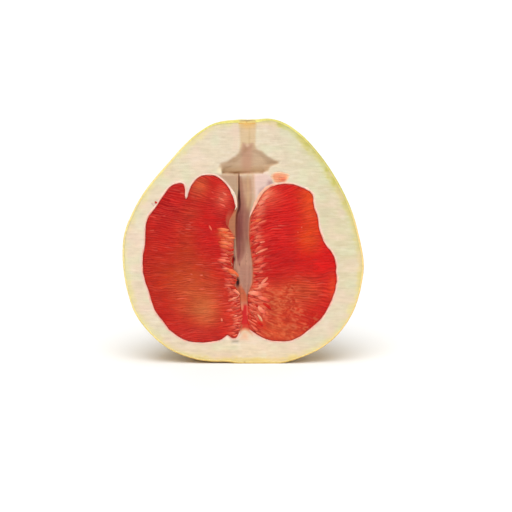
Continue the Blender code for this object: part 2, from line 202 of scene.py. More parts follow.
def divide(seed: int, along: Array, up: Array) -> Sacs:
    """Divide a surface into staggered sacs, one round a scattered seed in each unit cell.

    Args:
        seed: number of the pattern.
        along: place along the sacs, in sac lengths.
        up: place across them, in sac widths.

    Returns:
        The distance to the second nearest seed less that to the nearest, the nearest seed's
        own number, and how far up from it a point is.
    """
    near = np.full(up.shape, 9.0)
    second = near.copy()
    pick = np.zeros(up.shape)
    lean = np.zeros(up.shape)
    for row_step, column_step in itertools.product((-1, 0, 1), repeat=2):
        row = np.floor(up) + row_step
        stagger = 0.5 * np.mod(row, 2)
        column = np.floor(along - stagger) + column_step
        x = column + stagger + 0.5 + 0.6 * (chance(seed, column, row) - 0.5)
        z = row + 0.5 + 0.5 * (chance(seed + 1, column, row) - 0.5)
        distance = np.hypot(along - x, up - z)
        closer = distance < near
        second = np.where(closer, near, np.minimum(second, distance))
        pick = np.where(closer, chance(seed + 2, column, row), pick)
        lean = np.where(closer, up - z, lean)
        near = np.minimum(near, distance)
    return Sacs(second - near, pick, lean, near)


def specks(seed: int, points: Array, size: float) -> Array:
    """Distance to the nearest of scattered points, one in each cube of space.

    Args:
        seed: number of the pattern.
        points: places to measure from.
        size: edge of a cube.

    Returns:
        The distances, in sizes.
    """
    place = points / size
    near = np.full(place.shape[:-1], 9.0)
    for step in itertools.product((-1, 0, 1), repeat=3):
        cell = np.floor(place) + np.array(step)
        parts = [cell[..., axis] for axis in range(3)]
        gap = np.zeros(near.shape)
        for axis in range(3):
            gap += (place[..., axis] - parts[axis] - chance(seed + axis, *parts)) ** 2
        near = np.minimum(near, np.sqrt(gap))
    return near


def distance_to(points: Array, loop: Array) -> Array:
    """Distance from each point to the nearest straight stretch of a closed loop, in 2-D.

    Args:
        points: places.
        loop: corners of the loop.

    Returns:
        The distances, worked out in blocks to save memory.
    """
    start, step = loop, np.roll(loop, -1, axis=0) - loop
    length = np.sum(step**2, axis=1)

    def nearest(block: Array) -> Array:
        """The least distance over the stretches, each measured to its closest place."""
        to_start = block[:, None] - start[None]
        along = np.clip(np.sum(to_start * step, axis=2) / length, 0.0, 1.0)
        return np.sqrt(np.min(np.sum((to_start - along[..., None] * step) ** 2, axis=2), axis=1))

    flat = points.reshape(-1, 2)
    blocks = np.array_split(flat, max(1, len(flat) // 2000))
    return np.concatenate([nearest(block) for block in blocks]).reshape(points.shape[:-1])


def within(points: Array, loop: Array) -> Array:
    """Which points a closed 2-D loop holds: an odd number of its stretches lies to the right.

    Args:
        points: places.
        loop: corners of the loop.

    Returns:
        True inside.
    """
    start, end = loop, np.roll(loop, -1, axis=0)
    rise = np.where(end[:, 1] == start[:, 1], 1e-9, end[:, 1] - start[:, 1])

    def odd(block: Array) -> Array:
        """True where an odd number of stretches crosses the level line to the right."""
        x, z = block[:, :1], block[:, 1:]
        across = (start[:, 1] > z) != (end[:, 1] > z)
        meets = start[:, 0] + (z - start[:, 1]) / rise * (end[:, 0] - start[:, 0])
        return np.sum(across & (x < meets), axis=1) % 2 == 1

    flat = points.reshape(-1, 2)
    blocks = np.array_split(flat, max(1, len(flat) // 4000))
    return np.concatenate([odd(block) for block in blocks]).reshape(points.shape[:-1])


def depth_inside(points: Array, loop: Array) -> Array:
    """Distance to a closed loop, positive inside it and negative outside."""
    return np.where(within(points, loop), 1.0, -1.0) * distance_to(points, loop)


def circle(count: int) -> Array:
    """Angles evenly round a full turn."""
    return np.linspace(0, 2 * math.pi, count, endpoint=False)


def in_frame(points: Array) -> Array:
    """Places in the fruit's own millimetres, moved into the frame's metres."""
    return points * MM + (np.array(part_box("rind")[0]) - np.array(RIND_CORNER) * MM)


def tint(base: Array, colour: Colour, weight: Array) -> Array:
    """Colours moved towards one colour by a weight from 0 to 1."""
    weight = np.asarray(weight)[..., None]
    return base * (1 - weight) + np.array(colour) * weight


def shaded(base: Array, *coats: tuple[float, float, float, Array]) -> Array:
    """Colours under coats that are laid over them one after another.

    Args:
        base: colours so far.
        coats: red, green and blue of each one as screen values, and its weight.

    Returns:
        The colours, moved towards each coat's tone by its weight.
    """
    for *screen, weight in coats:
        base = tint(base, tone(*screen), weight)
    return base


@dataclass(frozen=True)
class Zone:
    """A soft patch of colour, strongest in its middle.

    Attributes:
        x, z: middle of the patch on the cut face.
        wide, high: how far it reaches, to about a third of its strength.
        colour: linear colour, where a zone has one.
        strength: share of the colour in the middle.
    """

    x: float
    z: float
    wide: float
    high: float
    colour: Colour = (0.0, 0.0, 0.0)
    strength: float = 1.0

    def weight(self, x: Array, z: Array) -> Array:
        """Strength times a bell in both directions."""
        return self.strength * hump(x, self.x, self.wide) * hump(z, self.z, self.high)


@dataclass(frozen=True)
class Patch:
    """A patch of colour with an outline of a few points and a soft edge."""

    outline: Curve
    colour: Colour
    soft: float = 1.0
    strength: float = 1.0

    def weight(self, points: Array) -> Array:
        """Strength times a smooth step from just outside the outline to just inside."""
        inside = depth_inside(points, np.array(self.outline))
        return self.strength * ease(inside, -self.soft, self.soft)


def soft_zones(*rows: tuple[float, ...]) -> tuple[Zone, ...]:
    """Zones from rows of (x, z, wide, high, red, green, blue, strength), in screen values."""
    return tuple(Zone(*row[:4], tone(*row[4:7]), row[7]) for row in rows)


class Form:
    """Points, colours and faces of a piece, gathered part by part in millimetres."""

    def __init__(self) -> None:
        """Start with nothing."""
        self.points: list[Array] = []
        self.colours: list[Array] = []
        self.flow: list[Array] = []
        self.faces: list[list[int]] = []
        self.count = 0

    def add(self, points: Array, colour: Array | Colour = (1, 1, 1),
            flow: Array | None = None) -> Array:
        """Add points, and give back their numbers in the same shape.

        Args:
            points: places, the last axis being x, y and z.
            colour: one colour, or one for each point.
            flow: places along and across the grain, for the finish to follow.

        Returns:
            The number of each point.
        """
        shape = points.shape[:-1]
        amount = int(np.prod(shape))
        self.points.append(points.reshape(-1, 3))
        self.colours.append(np.broadcast_to(colour, (*shape, 3)).reshape(-1, 3))
        if flow is None:
            flow = np.zeros((*shape, 3))
        self.flow.append(flow.reshape(-1, 3))
        numbers = self.count + np.arange(amount).reshape(shape)
        self.count += amount
        return numbers

    def patch(self, grid: Array, flip: bool = False) -> None:
        """Faces of four between the rows and columns of a grid of point numbers."""
        around = [grid[:-1, :-1], grid[:-1, 1:], grid[1:, 1:], grid[1:, :-1]]
        if flip:
            around.reverse()
        self.faces += np.stack(around, axis=-1).reshape(-1, 4).tolist()

    def tube(self, grid: Array, flip: bool = False) -> None:
        """The same as patch, with the last column joined to the first."""
        self.patch(np.concatenate([grid, grid[:, :1]], axis=1), flip)

    def fan(self, tip: int, loop: Array, flip: bool = False) -> None:
        """Triangles from a tip to each stretch of an open row of point numbers."""
        ends = (loop[1:], loop[:-1]) if flip else (loop[:-1], loop[1:])
        tips = np.full(len(loop) - 1, tip)
        self.faces += np.stack([tips, *ends], axis=-1).tolist()

    def cap(self, ring: Array, tip: Array | Place, colour: Array | Colour,
            flip: bool = False) -> None:
        """Close a ring with a fan round a new point.

        Args:
            ring: point numbers round the opening.
            tip: place of the new point.
            colour: its colour.
            flip: whether the faces are turned over.
        """
        number = self.add(np.array(tip)[None], colour)
        self.fan(int(number[0]), np.append(ring, ring[0]), flip)

    def capsule(self, rings: Array, tail: Array, nose: Array, colours: Array,
                flip: bool = False) -> None:
        """Close a tube of rings with a fan at each end.

        Args:
            rings: point numbers, one row for each ring.
            tail, nose: places of the tips before the first ring and after the last.
            colours: colours of the two tips.
            flip: whether the tube is a mirrored one.
        """
        self.tube(rings, flip=not flip)
        self.cap(rings[0], tail, colours[0], not flip)
        self.cap(rings[-1], nose, colours[1], flip)

    def piece(self, name: str, material: bpy.types.Material, slot: Slot,
              *nodes: str) -> bpy.types.Object:
        """Make the mesh object, riding on the part's body.

        Args:
            name: the piece's name.
            material: its finish.
            slot: the part's material slot that the finish belongs to; not used.
            nodes: CAD nodes that the piece stands for.

        Returns:
            The object, at the origin, with its place in its mesh.
        """
        points = in_frame(np.concatenate(self.points))
        mesh = bpy.data.meshes.new(name)
        mesh.from_pydata(points.tolist(), [], self.faces)
        colours = np.concatenate(self.colours)
        full = np.concatenate([colours, np.ones((len(colours), 1))], axis=1)
        paint = mesh.attributes.new("paint", "FLOAT_COLOR", "POINT")
        paint.data.foreach_set("color", full.astype(np.float32).ravel())
        flow = mesh.attributes.new("flow", "FLOAT_VECTOR", "POINT")
        flow.data.foreach_set("vector", np.concatenate(self.flow).astype(np.float32).ravel())
        mesh.materials.append(material)
        mesh.shade_smooth()
        mesh.update()
        item = bpy.data.objects.new(name, mesh)
        bpy.context.collection.objects.link(item)
        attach(item, "root")
        if nodes:
            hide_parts(*nodes)
        return item


class Finish:
    """A Principled material that is put together node by node."""

    def __init__(self, name: str, rough: float, ior: float) -> None:
        """Start a material with a constant roughness and index of refraction."""
        self.material = bpy.data.materials.new(name)
        self.material.use_nodes = True
        self.tree = self.material.node_tree
        self.shader = self.tree.nodes["Principled BSDF"]
        self.shader.inputs["Roughness"].default_value = rough
        self.shader.inputs["IOR"].default_value = ior

    def node(self, kind: str, **properties: str) -> bpy.types.Node:
        """Add a node and set its properties."""
        made = self.tree.nodes.new(kind)
        for key, value in properties.items():
            setattr(made, key, value)
        return made

    def link(self, start: Socket, end: Socket) -> None:
        """Join an output to an input."""
        self.tree.links.new(start, end)

    def gloss(self, level: float) -> None:
        """Strength of the reflection from the surface, 0.5 being the usual one."""
        self.shader.inputs["Specular IOR Level"].default_value = level

    def glow(self, weight: float, radius: Colour, scale: float) -> None:
        """Let light scatter under the surface: its share, its reach by colour and scale."""
        self.shader.inputs["Subsurface Weight"].default_value = weight
        self.shader.inputs["Subsurface Radius"].default_value = radius
        self.shader.inputs["Subsurface Scale"].default_value = scale

    def place(self, scale: tuple[float, float, float] | float, source: str = "") -> Socket:
        """Coordinates of a pattern.

        Args:
            scale: how many of the pattern's units a unit has, along each axis or all of them.
            source: name of the attribute to read them from, or nothing for the object's own.

        Returns:
            The coordinates' output.
        """
        mapping = self.node("ShaderNodeMapping")
        mapping.inputs["Scale"].default_value = np.broadcast_to(scale, 3).tolist()
        if source:
            read = self.node("ShaderNodeAttribute", attribute_name=source)
            self.link(read.outputs["Vector"], mapping.inputs["Vector"])
        else:
            read = self.node("ShaderNodeTexCoord")
            self.link(read.outputs["Object"], mapping.inputs["Vector"])
        return mapping.outputs["Vector"]

    def noise(self, place: Socket, detail: float = 3.0) -> Socket:
        """Grey noise, one unit of its coordinates across."""
        made = self.node("ShaderNodeTexNoise")
        made.inputs["Scale"].default_value = 1.0
        made.inputs["Detail"].default_value = detail
        self.link(place, made.inputs["Vector"])
        return made.outputs["Fac"]

    def remap(self, value: Socket, source: tuple[float, float],
              target: tuple[float, float]) -> Socket:
        """Carry a value over from one range to another.

        Args:
            value: the output to carry over.
            source: least and greatest value before.
            target: what they become.

        Returns:
            The output.
        """
        made = self.node("ShaderNodeMapRange")
        for key, number in zip(("From Min", "From Max", "To Min", "To Max"), (*source, *target)):
            made.inputs[key].default_value = number
        self.link(value, made.inputs["Value"])
        return made.outputs["Result"]

    def span(self, value: Socket, low: float, high: float) -> Socket:
        """Carry noise over from the range that most of it lies in."""
        return self.remap(value, NOISE_RANGE, (low, high))

    def paint(self, *shades: Socket) -> None:
        """Base colour: the piece's own paint, times each grey shade."""
        colour = self.node("ShaderNodeAttribute", attribute_name="paint").outputs["Color"]
        for shade in shades:
            scale = self.node("ShaderNodeVectorMath", operation="SCALE")
            self.link(colour, scale.inputs[0])
            self.link(shade, scale.inputs["Scale"])
            colour = scale.outputs["Vector"]
        self.link(colour, self.shader.inputs["Base Color"])

    def relief(self, *layers: tuple[Socket, float]) -> None:
        """Bump from heights, each with the distance in metres that a rise of 1 stands for."""
        normal = None
        for height, distance in layers:
            bump = self.node("ShaderNodeBump")
            bump.inputs["Distance"].default_value = distance
            self.link(height, bump.inputs["Height"])
            if normal is not None:
                self.link(normal, bump.inputs["Normal"])
            normal = bump.outputs["Normal"]
        self.link(normal, self.shader.inputs["Normal"])


@dataclass(frozen=True)
class SkinFinish:
    """Waxy yellow skin with oil glands."""

    gland: float = 620.0
    rough: float = 0.34

    def material(self) -> bpy.types.Material:
        """Paint, darker in the glands and in faint mottles, with the glands as dimples."""
        finish = Finish("waxy_skin", self.rough, 1.45)
        cells = finish.node("ShaderNodeTexVoronoi")
        cells.inputs["Scale"].default_value = 1.0
        finish.link(finish.place(self.gland), cells.inputs["Vector"])
        glands = cells.outputs["Distance"]
        mottle = finish.span(finish.noise(finish.place(90.0)), 0.95, 1.05)
        finish.paint(mottle, finish.remap(glands, (0.0, 0.6), (0.88, 1.04)))
        finish.relief((glands, 0.00035))
        finish.glow(0.12, (1.0, 0.6, 0.1), 0.002)
        return finish.material


@dataclass(frozen=True)
class PithFinish:
    """Dry spongy pith with level fibres."""

    rough: float = 0.62

    def material(self) -> bpy.types.Material:
        """Paint with faint level streaks and a fine sponge, both in colour and in relief."""
        finish = Finish("spongy_pith", self.rough, 1.4)
        fibres = finish.noise(finish.place((110.0, 300.0, 900.0)), 4.0)
        sponge = finish.noise(finish.place(1500.0), 2.0)
        cloud = finish.noise(finish.place(70.0), 2.0)
        finish.paint(finish.span(fibres, 0.94, 1.045), finish.span(cloud, 0.97, 1.025))
        finish.relief((fibres, 0.0002), (sponge, 0.00012))
        finish.glow(0.25, (1.0, 0.75, 0.45), 0.003)
        return finish.material


@dataclass(frozen=True)
class PulpFinish:
    """Wet, glossy juice sacs that let light in."""

    name: str = "wet_pulp"
    rough: float = 0.22
    glow: float = 0.35
    fine: float = 0.00007

    def material(self) -> bpy.types.Material:
        """Paint with fine lines along the sacs, in colour and in relief."""
        finish = Finish(self.name, self.rough, 1.36)
        lines = finish.noise(finish.place((0.25, 2.0, 1.0), "flow"), 3.0)
        cloud = finish.noise(finish.place(180.0), 3.0)
        finish.paint(finish.span(lines, 0.88, 1.12), finish.span(cloud, 0.93, 1.07))
        finish.relief((lines, self.fine * 2.5), (cloud, self.fine * 2))
        finish.gloss(0.25)
        finish.glow(self.glow, (1.0, 0.22, 0.12), 0.0025)
        return finish.material


@dataclass(frozen=True)
class PlainFinish:
    """A finish whose colour comes from its paint or from one tone, with soft mottling."""

    name: str
    rough: float
    grain: float = 400.0
    colour: Colour | None = None
    glow: float = 0.2

    def material(self) -> bpy.types.Material:
        """Noise at the grain's scale lightens and darkens the colour and lifts the surface."""
        finish = Finish(self.name, self.rough, 1.38)
        grain = finish.noise(finish.place(self.grain))
        finish.relief((grain, 0.0002))
        if self.colour is None:
            finish.paint(finish.span(grain, 0.9, 1.1))
        else:
            blend = finish.node("ShaderNodeMix", data_type="RGBA")
            blend.inputs[6].default_value = (*[part * 0.75 for part in self.colour], 1.0)
            blend.inputs[7].default_value = (*self.colour, 1.0)
            finish.link(finish.span(grain, 0.0, 1.0), blend.inputs[0])
            finish.link(blend.outputs[2], finish.shader.inputs["Base Color"])
        finish.glow(self.glow, (1.0, 0.4, 0.25), 0.002)
        return finish.material


@dataclass(frozen=True)
class Fruit:
    """The half fruit's outside, in its own millimetres.

    Attributes:
        right, left: outlines of the cut face from the blossom end to the stem, as (x, z).
        back: the outline straight behind the axis, as (y, z).
    """

    stem_height: float = 151.8
    stem_offset: float = 1.6
    centre_height: float = 70.0
    lump_height: float = 0.9
    lumps: int = 5
    scar_radius: float = 4.4
    scar_edge: float = 0.7
    scar_rise: float = 0.25
    right: Curve = (
        (0.0, -0.6), (14.0, -0.6), (26.0, 0.7), (36.1, 3.9), (47.3, 9.2), (57.3, 17.2),
        (67.0, 31.0), (72.6, 48.0), (74.3, 62.0), (71.6, 78.8), (66.5, 96.5), (57.2, 115.7),
        (50.6, 126.0), (45.1, 133.2), (33.5, 145.1), (24.5, 151.0), (14.8, 153.6), (7.5, 152.4),
        (1.6, 151.8),
    )
    left: Curve = (
        (0.0, -0.6), (-5.0, 0.1), (-10.0, 0.9), (-20.0, 1.1), (-27.0, 1.8), (-35.3, 3.8),
        (-44.2, 7.4), (-52.5, 12.8), (-60.9, 21.2), (-67.8, 31.0), (-73.0, 46.0), (-75.7, 66.9),
        (-74.8, 81.0), (-70.0, 94.0), (-62.1, 107.9), (-54.8, 117.3), (-46.6, 126.6),
        (-38.8, 135.5), (-28.5, 144.8), (-19.0, 150.4), (-9.5, 151.9), (1.6, 151.8),
    )
    back: Curve = (
        (0.0, -0.6), (20.0, -0.6), (40.0, -0.1), (52.0, 6.5), (62.0, 18.0), (70.0, 34.0),
        (74.5, 52.0), (75.0, 68.0), (72.5, 86.0), (66.0, 103.0), (55.0, 120.0),
        (42.0, 134.5), (30.0, 144.5), (19.0, 150.5), (8.0, 152.3), (0.0, 151.8),
    )

    def axis(self, height: Array) -> Array:
        """How far the axis leans to the right: the offset times the squared share of height."""
        return self.stem_offset * (np.asarray(height) / self.stem_height) ** 2

    def reach(self, outline: Curve, angles: Array, leans: bool = True) -> Array:
        """Distance from the centre to an outline.

        Args:
            outline: points from the blossom end to the stem.
            angles: angles from straight down.
            leans: whether the outline is measured from the leaning axis.

        Returns:
            The distance at each angle.
        """
        points = np.array(outline)
        offset = self.axis(points[:, 1]) if leans else 0.0
        across = np.abs(points[:, 0] - offset)
        up = points[:, 1] - self.centre_height
        return smooth(np.arctan2(across, -up), np.hypot(across, up), angles)

    def surface(self, angles: Array, azimuths: Array, inset: float = 0.0) -> Array:
        """Points of the skin, or of a layer at an inset below it.

        The distance from the centre is the right and left outlines' shared out by half of
        (1 + cos azimuth), and goes over to the back outline's by the square of the sine. Low
        lumps stand round the stem end and the stem scar is raised. The foot is cut level.

        Args:
            angles: angles from straight down, of the rows.
            azimuths: azimuths, of the columns.
            inset: how far below the skin.

        Returns:
            Points, as rows by columns by (x, y, z).
        """
        angle, azimuth = np.asarray(angles)[:, None], np.asarray(azimuths)[None, :]
        right, left = self.reach(self.right, angle), self.reach(self.left, angle)
        back = self.reach(self.back, angle, leans=False)
        share = (1 + np.cos(azimuth)) / 2
        behind = np.sin(azimuth) ** 2
        distance = (share * right + (1 - share) * left) * (1 - behind) + back * behind
        shoulder = hump(angle, math.radians(140), math.radians(20))
        distance = distance + self.lump_height * shoulder * behind * np.cos(2 * self.lumps * azimuth)
        rim = (self.scar_radius + self.scar_edge - distance * np.sin(angle)) / self.scar_edge
        distance = distance + self.scar_rise * np.clip(rim, 0, 1) * (angle > 2) - inset
        height = np.maximum(self.centre_height - distance * np.cos(angle), inset)
        radius = distance * np.sin(angle)
        x = radius * np.cos(azimuth) + self.axis(height)
        return np.stack([x, radius * np.sin(azimuth), height], axis=-1)


@dataclass(frozen=True)
class Lobe:
    """A pulp lobe's edges, as (distance from the axis, z).

    Attributes:
        side: side of the core.
        inner, outer: edges beside the core and the skin, upwards.
        bottom, top: lower and upper edge, away from the core.
        over: the upper edge where it passes over a notch, if it has one.
        waver: how far the rows swing.
    """

    side: Side
    inner: Curve
    outer: Curve
    bottom: Curve
    top: Curve
    over: Curve = ()
    waver: float = 0.45

    def edge(self, points: Curve, fractions: Array, axis: int) -> Array:
        """A smooth edge at fractions of its rise or of its width.

        Args:
            points: the edge's own points.
            fractions: places along it, from 0 to 1.
            axis: 1 for its rise, 0 for its width.

        Returns:
            Points of the edge.
        """
        known = np.array(points)
        first, last = known[0, axis], known[-1, axis]
        places = (known[:, axis] - first) / (last - first)
        other = smooth(places, known[:, 1 - axis], fractions, tight=True)
        along = first + (last - first) * np.asarray(fractions)
        return np.stack((other, along) if axis == 1 else (along, other), axis=-1)

    def grid(self, across: Array, up: Array, notched: bool = True) -> Array:
        """Points of the lobe as (distance from the axis, z), one row for each height.

        A Coons patch: the inner and outer edges shared out across, plus the bends of the
        bottom and top edges from straight, which fade by a cube towards mid height.

        Args:
            across: fractions of the width.
            up: fractions of the height.
            notched: whether the upper edge dips into the notch.

        Returns:
            Rows by columns of points.
        """
        inner = self.edge(self.inner, up, 1)[:, None]
        outer = self.edge(self.outer, up, 1)[:, None]
        bottom = self.edge(self.bottom, across, 0)[None]
        top = self.edge(self.top if notched or not self.over else self.over, across, 0)[None]
        u, v = np.asarray(across)[None, :, None], np.asarray(up)[:, None, None]
        low_bend = bottom - (1 - u) * bottom[:, :1] - u * bottom[:, -1:]
        high_bend = top - (1 - u) * top[:, :1] - u * top[:, -1:]
        wave = self.waver * (u * drift(21, 14 * v + 0 * u) + 0.5 * (1 - v) * drift(22, 12 * u + 0 * v))
        wave = np.concatenate([wave, 0 * wave], axis=-1) + 0 * u
        return (1 - u) * inner + u * outer + (1 - v) ** 3 * low_bend + v**3 * high_bend + wave

    def outline(self, count: int = 420) -> Array:
        """The closed border on the cut face as (x, z), evenly spaced."""
        loop = rim_of(self.grid(np.linspace(0, 1, 300), np.linspace(0, 1, 160)))
        closed = np.concatenate([loop, loop[:1]])
        length = np.concatenate([[0], np.cumsum(np.hypot(*np.diff(closed, axis=0).T))])
        wanted = np.linspace(0, length[-1], count, endpoint=False)
        x = np.interp(wanted, length, closed[:, 0]) * self.side.value
        return np.stack([x, np.interp(wanted, length, closed[:, 1])], axis=-1)


def rim_of(grid: Array) -> Array:
    """The closed border of a grid: bottom outwards, outer edge up, top inwards, inner down."""
    return np.concatenate([grid[0], grid[1:, -1], grid[-1, -2::-1], grid[-2:0:-1, 0]])


# The left lobe's upper edge, with the notch between its two sub-lobes
LEFT_TOP = (
    (5.4, 99.0), (6.2, 103.4), (8.0, 108.0), (10.8, 112.4), (14.8, 116.4), (19.4, 118.6),
    (24.4, 118.7), (28.9, 117.0), (31.8, 113.9), (34.2, 109.3), (35.1, 106.4), (35.8, 104.2),
    (36.4, 104.0), (36.7, 107.0), (36.8, 110.4), (37.2, 112.2), (38.4, 113.5), (40.4, 113.9),
    (42.8, 113.3), (46.8, 110.8), (51.4, 104.6),
)
LEFT_LOBE = Lobe(
    Side.LEFT,
    inner=((2.4, 21.2), (0.9, 31.0), (2.2, 36.7), (2.8, 42.9), (5.9, 49.8), (4.2, 55.5),
           (8.0, 62.3), (6.6, 69.9), (6.4, 79.4), (8.2, 82.6), (10.2, 84.9), (10.4, 88.6),
           (9.2, 92.0), (7.4, 94.6), (5.4, 99.0)),
    outer=((47.1, 21.6), (55.2, 32.9), (60.1, 46.7), (63.3, 64.0), (61.8, 78.0),
           (59.2, 92.4), (51.4, 104.6)),
    bottom=((2.4, 21.2), (3.4, 19.2), (4.6, 16.9), (6.2, 16.0), (8.0, 16.3), (9.4, 17.3),
            (10.5, 17.9), (11.8, 17.0), (13.6, 15.6), (20.0, 13.9), (28.4, 13.2), (39.6, 16.0),
            (47.1, 21.6)),
    top=LEFT_TOP,
    over=(*LEFT_TOP[:7], (28.9, 117.4), (33.0, 115.4), (38.4, 113.9), *LEFT_TOP[17:]),
)
RIGHT_LOBE = Lobe(
    Side.RIGHT,
    inner=((2.6, 22.0), (1.8, 28.0), (1.9, 42.9), (4.7, 51.1), (5.0, 60.0), (4.1, 69.0),
           (2.9, 78.0), (3.2, 90.0), (8.4, 102.8)),
    outer=((46.6, 27.2), (50.6, 32.0), (53.0, 37.4), (55.3, 42.6), (57.0, 48.0), (57.4, 53.6),
           (56.6, 58.6), (56.7, 63.6), (54.7, 70.0), (50.6, 75.6), (48.6, 80.0), (46.0, 86.6),
           (45.0, 93.2), (43.6, 99.0), (43.0, 104.6)),
    bottom=((2.6, 22.0), (4.8, 20.3), (7.6, 18.4), (13.4, 15.4), (21.9, 14.0), (29.6, 14.7), (37.7, 19.4),
            (46.6, 27.2)),
    top=((8.4, 102.8), (10.8, 106.8), (13.6, 109.7), (16.5, 111.6), (19.6, 112.6),
         (22.5, 113.2), (25.3, 113.4), (28.0, 113.3), (30.5, 112.9), (33.0, 112.1),
         (35.6, 111.2), (38.4, 110.0), (40.6, 108.6), (42.0, 107.2), (42.8, 105.9),
         (43.0, 104.6)),
)
DEEP_LOBE = Lobe(
    Side.RIGHT,
    inner=((7.0, 22.0), (7.0, 40.0), (7.0, 60.0), (7.0, 80.0), (8.0, 97.0)),
    outer=((46.0, 27.0), (54.0, 40.0), (59.5, 56.0), (60.5, 66.0), (58.0, 78.0),
           (54.0, 88.0), (46.0, 98.0)),
    bottom=((7.0, 22.0), (14.0, 16.0), (24.0, 14.0), (35.0, 16.5), (46.0, 27.0)),
    top=((8.0, 97.0), (13.0, 106.0), (22.0, 111.0), (32.0, 111.0), (41.0, 105.0),
         (46.0, 98.0)),
    waver=0.0,
)
CUT_SEGMENT_ANGLE = math.radians(20.0)


def turned(points: Array, azimuth: float, sideways: float = 0.0) -> Array:
    """Points (distance from the axis, z) placed at an azimuth, or moved sideways from it.

    Args:
        points: places in the plane through the axis.
        azimuth: the plane's azimuth.
        sideways: how far to move them out of it, towards rising azimuths.

    Returns:
        Places as (x, y, z).
    """
    radius, height = points[..., 0], points[..., 1]
    x = radius * math.cos(azimuth) - sideways * math.sin(azimuth)
    y = radius * math.sin(azimuth) + sideways * math.cos(azimuth)
    return np.stack([x, y, height], axis=-1)


@dataclass
class Skin:
    """The thin coloured skin all round the half."""

    fruit: Fruit
    rows: int = 340
    columns: int = 250
    thickness: float = 1.3
    rounding: float = 0.3
    bevel: float = 0.12
    pit_size: float = 2.6
    pit_depth: float = 0.16
    back_columns: int = 13
    finish: SkinFinish = SkinFinish()
    yellow: Colour = tone(252, 212, 46)
    bright: Colour = tone(254, 226, 64)
    golden: Colour = tone(246, 190, 42)
    green: Colour = tone(206, 212, 78)
    inner: Colour = tone(244, 228, 152)
    edge: Colour = tone(246, 222, 146)
    blossom: Colour = tone(176, 120, 44)

    def angles(self) -> Array:
        """Angles of the rows from straight down, without the two poles."""
        return np.linspace(0.0, math.pi, self.rows + 2)[1:-1]

    def colours(self, points: Array) -> Array:
        """Yellow, brighter above, golden below, green at the upper right, brown at the foot."""
        x, y, z = (points[..., axis] for axis in range(3))
        cloud = drift(31, x / 22, y / 22, z / 22)
        colour = np.broadcast_to(self.yellow, points.shape)
        colour = tint(colour, self.bright, ease(z, 70, 150) * 0.7)
        colour = tint(colour, self.golden, ease(-z, -60, 5) * (0.75 + 0.2 * cloud))
        greenish = ease(x + 8 * cloud, -10, 55) * ease(z, 40, 120) * ease(-y, -45, 5)
        colour = tint(colour, self.green, 0.75 * greenish)
        colour = tint(colour, self.green, 0.35 * ease(z + 4 * cloud, 138, 150))
        foot = hump(np.hypot(x, y), 0.0, 3.0) * (z < 20)
        stalk = ease(-np.hypot(x - 1.6, y), -6.4, -4.4) * (z > 140)
        colour = tint(colour, tone(176, 136, 62), 0.9 * stalk)
        return tint(colour, self.blossom, foot)

    def edge_colours(self, points: Array) -> Array:
        """The cut edge: pale yellow, golden painted shade low down, orange on the right, olive above it."""
        x, z = points[..., 0], points[..., 2]
        top = ease(z, 140, 148)
        return shaded(
            np.broadcast_to(self.edge, points.shape),
            # Darker golden towards the foot: painted shade where the fruit meets the floor
            (214, 170, 84, ease(-z, -20, -1)),
            (244, 202, 130, ease(x, 28, 52) * ease(-z, -104, -80)),
            (196, 186, 84, ease(x, 4, 24) * ease(z, 84, 108)),
            (222, 216, 92, 0.85 * ease(z, 136, 147)),
            (196, 160, 78, 0.9 * (ease(-np.abs(x - 2.0), -6.0, -4.2) * top)),
            (226, 176, 92, 0.8 * hump(x, 0.8, 2.2) * top),
        )

    def build(self) -> bpy.types.Object:
        """A closed shell: pitted outside, smooth inside, and a rounded rim on the cut face."""
        angles = self.angles()
        outer = self.fruit.surface(angles, np.linspace(0, math.pi, self.columns))
        swell = specks(7, outer, self.pit_size)
        small = 0.35 * drift(8, *(outer[..., axis] / 5.5 for axis in range(3)))
        x, y, z = (outer[..., axis] for axis in range(3))
        inward = np.stack([-x, -y, self.fruit.centre_height - z], -1)
        inward /= np.linalg.norm(inward, axis=-1)[..., None]
        pits = self.pit_depth * (hump(swell, 0.0, 0.42) + small + 0.2)
        pits *= ease(outer[..., 2], 0.0, 3.0)
        outer = outer + inward * pits[..., None]
        outer[:, (0, -1), 1] = self.rounding
        skin_colours = self.colours(outer)
        skin_colours[:, (0, 1, -2, -1)] = self.edge_colours(outer[:, (0, 1, -2, -1)])
        ends = np.array([0.0, math.pi])
        lip = self.fruit.surface(angles, ends, self.rounding)
        heel = self.fruit.surface(angles, ends, self.thickness - self.bevel)
        inside = self.fruit.surface(angles, np.linspace(0, math.pi, self.back_columns), self.thickness)
        inside[:, (0, -1), 1] = self.bevel
        lip[..., 1] = heel[..., 1] = 0.0
        inside[:, 1:-1, 1] += 0.02
        form = Form()
        out = form.add(outer, skin_colours)
        rim, hem, into = (
            form.add(layer, tint(self.edge_colours(layer), self.inner, share * np.ones(layer.shape[:2])))
            for layer, share in ((lip, 0.15), (heel, 0.7), (inside, 0.8)))
        poles = []
        for top in (False, True):
            x, z = (1.6, self.fruit.stem_height) if top else (0.0, 0.0)
            inward_step = -1 if top else 1
            tips = np.array([(x, self.rounding, z), (x, 0.0, z + inward_step * self.rounding),
                             (x, 0.0, z + inward_step * (self.thickness - self.bevel)),
                             (x, self.bevel, z + inward_step * self.thickness)])
            poles.append(form.add(tips, self.edge_colours(tips)))
        form.patch(out, flip=True)
        form.patch(into)
        for pole, row, flip in ((poles[0], 0, False), (poles[1], -1, True)):
            form.fan(int(pole[0]), out[row], not flip)
            form.fan(int(pole[3]), into[row], flip)
        for column, flip in ((0, True), (-1, False)):
            line = np.stack([layer[:, column] for layer in (out, rim, hem, into)])
            form.patch(np.concatenate([poles[0][:, None], line, poles[1][:, None]], axis=1), flip)
        return form.piece("skin", self.finish.material(), Slot.RIND, "rind")


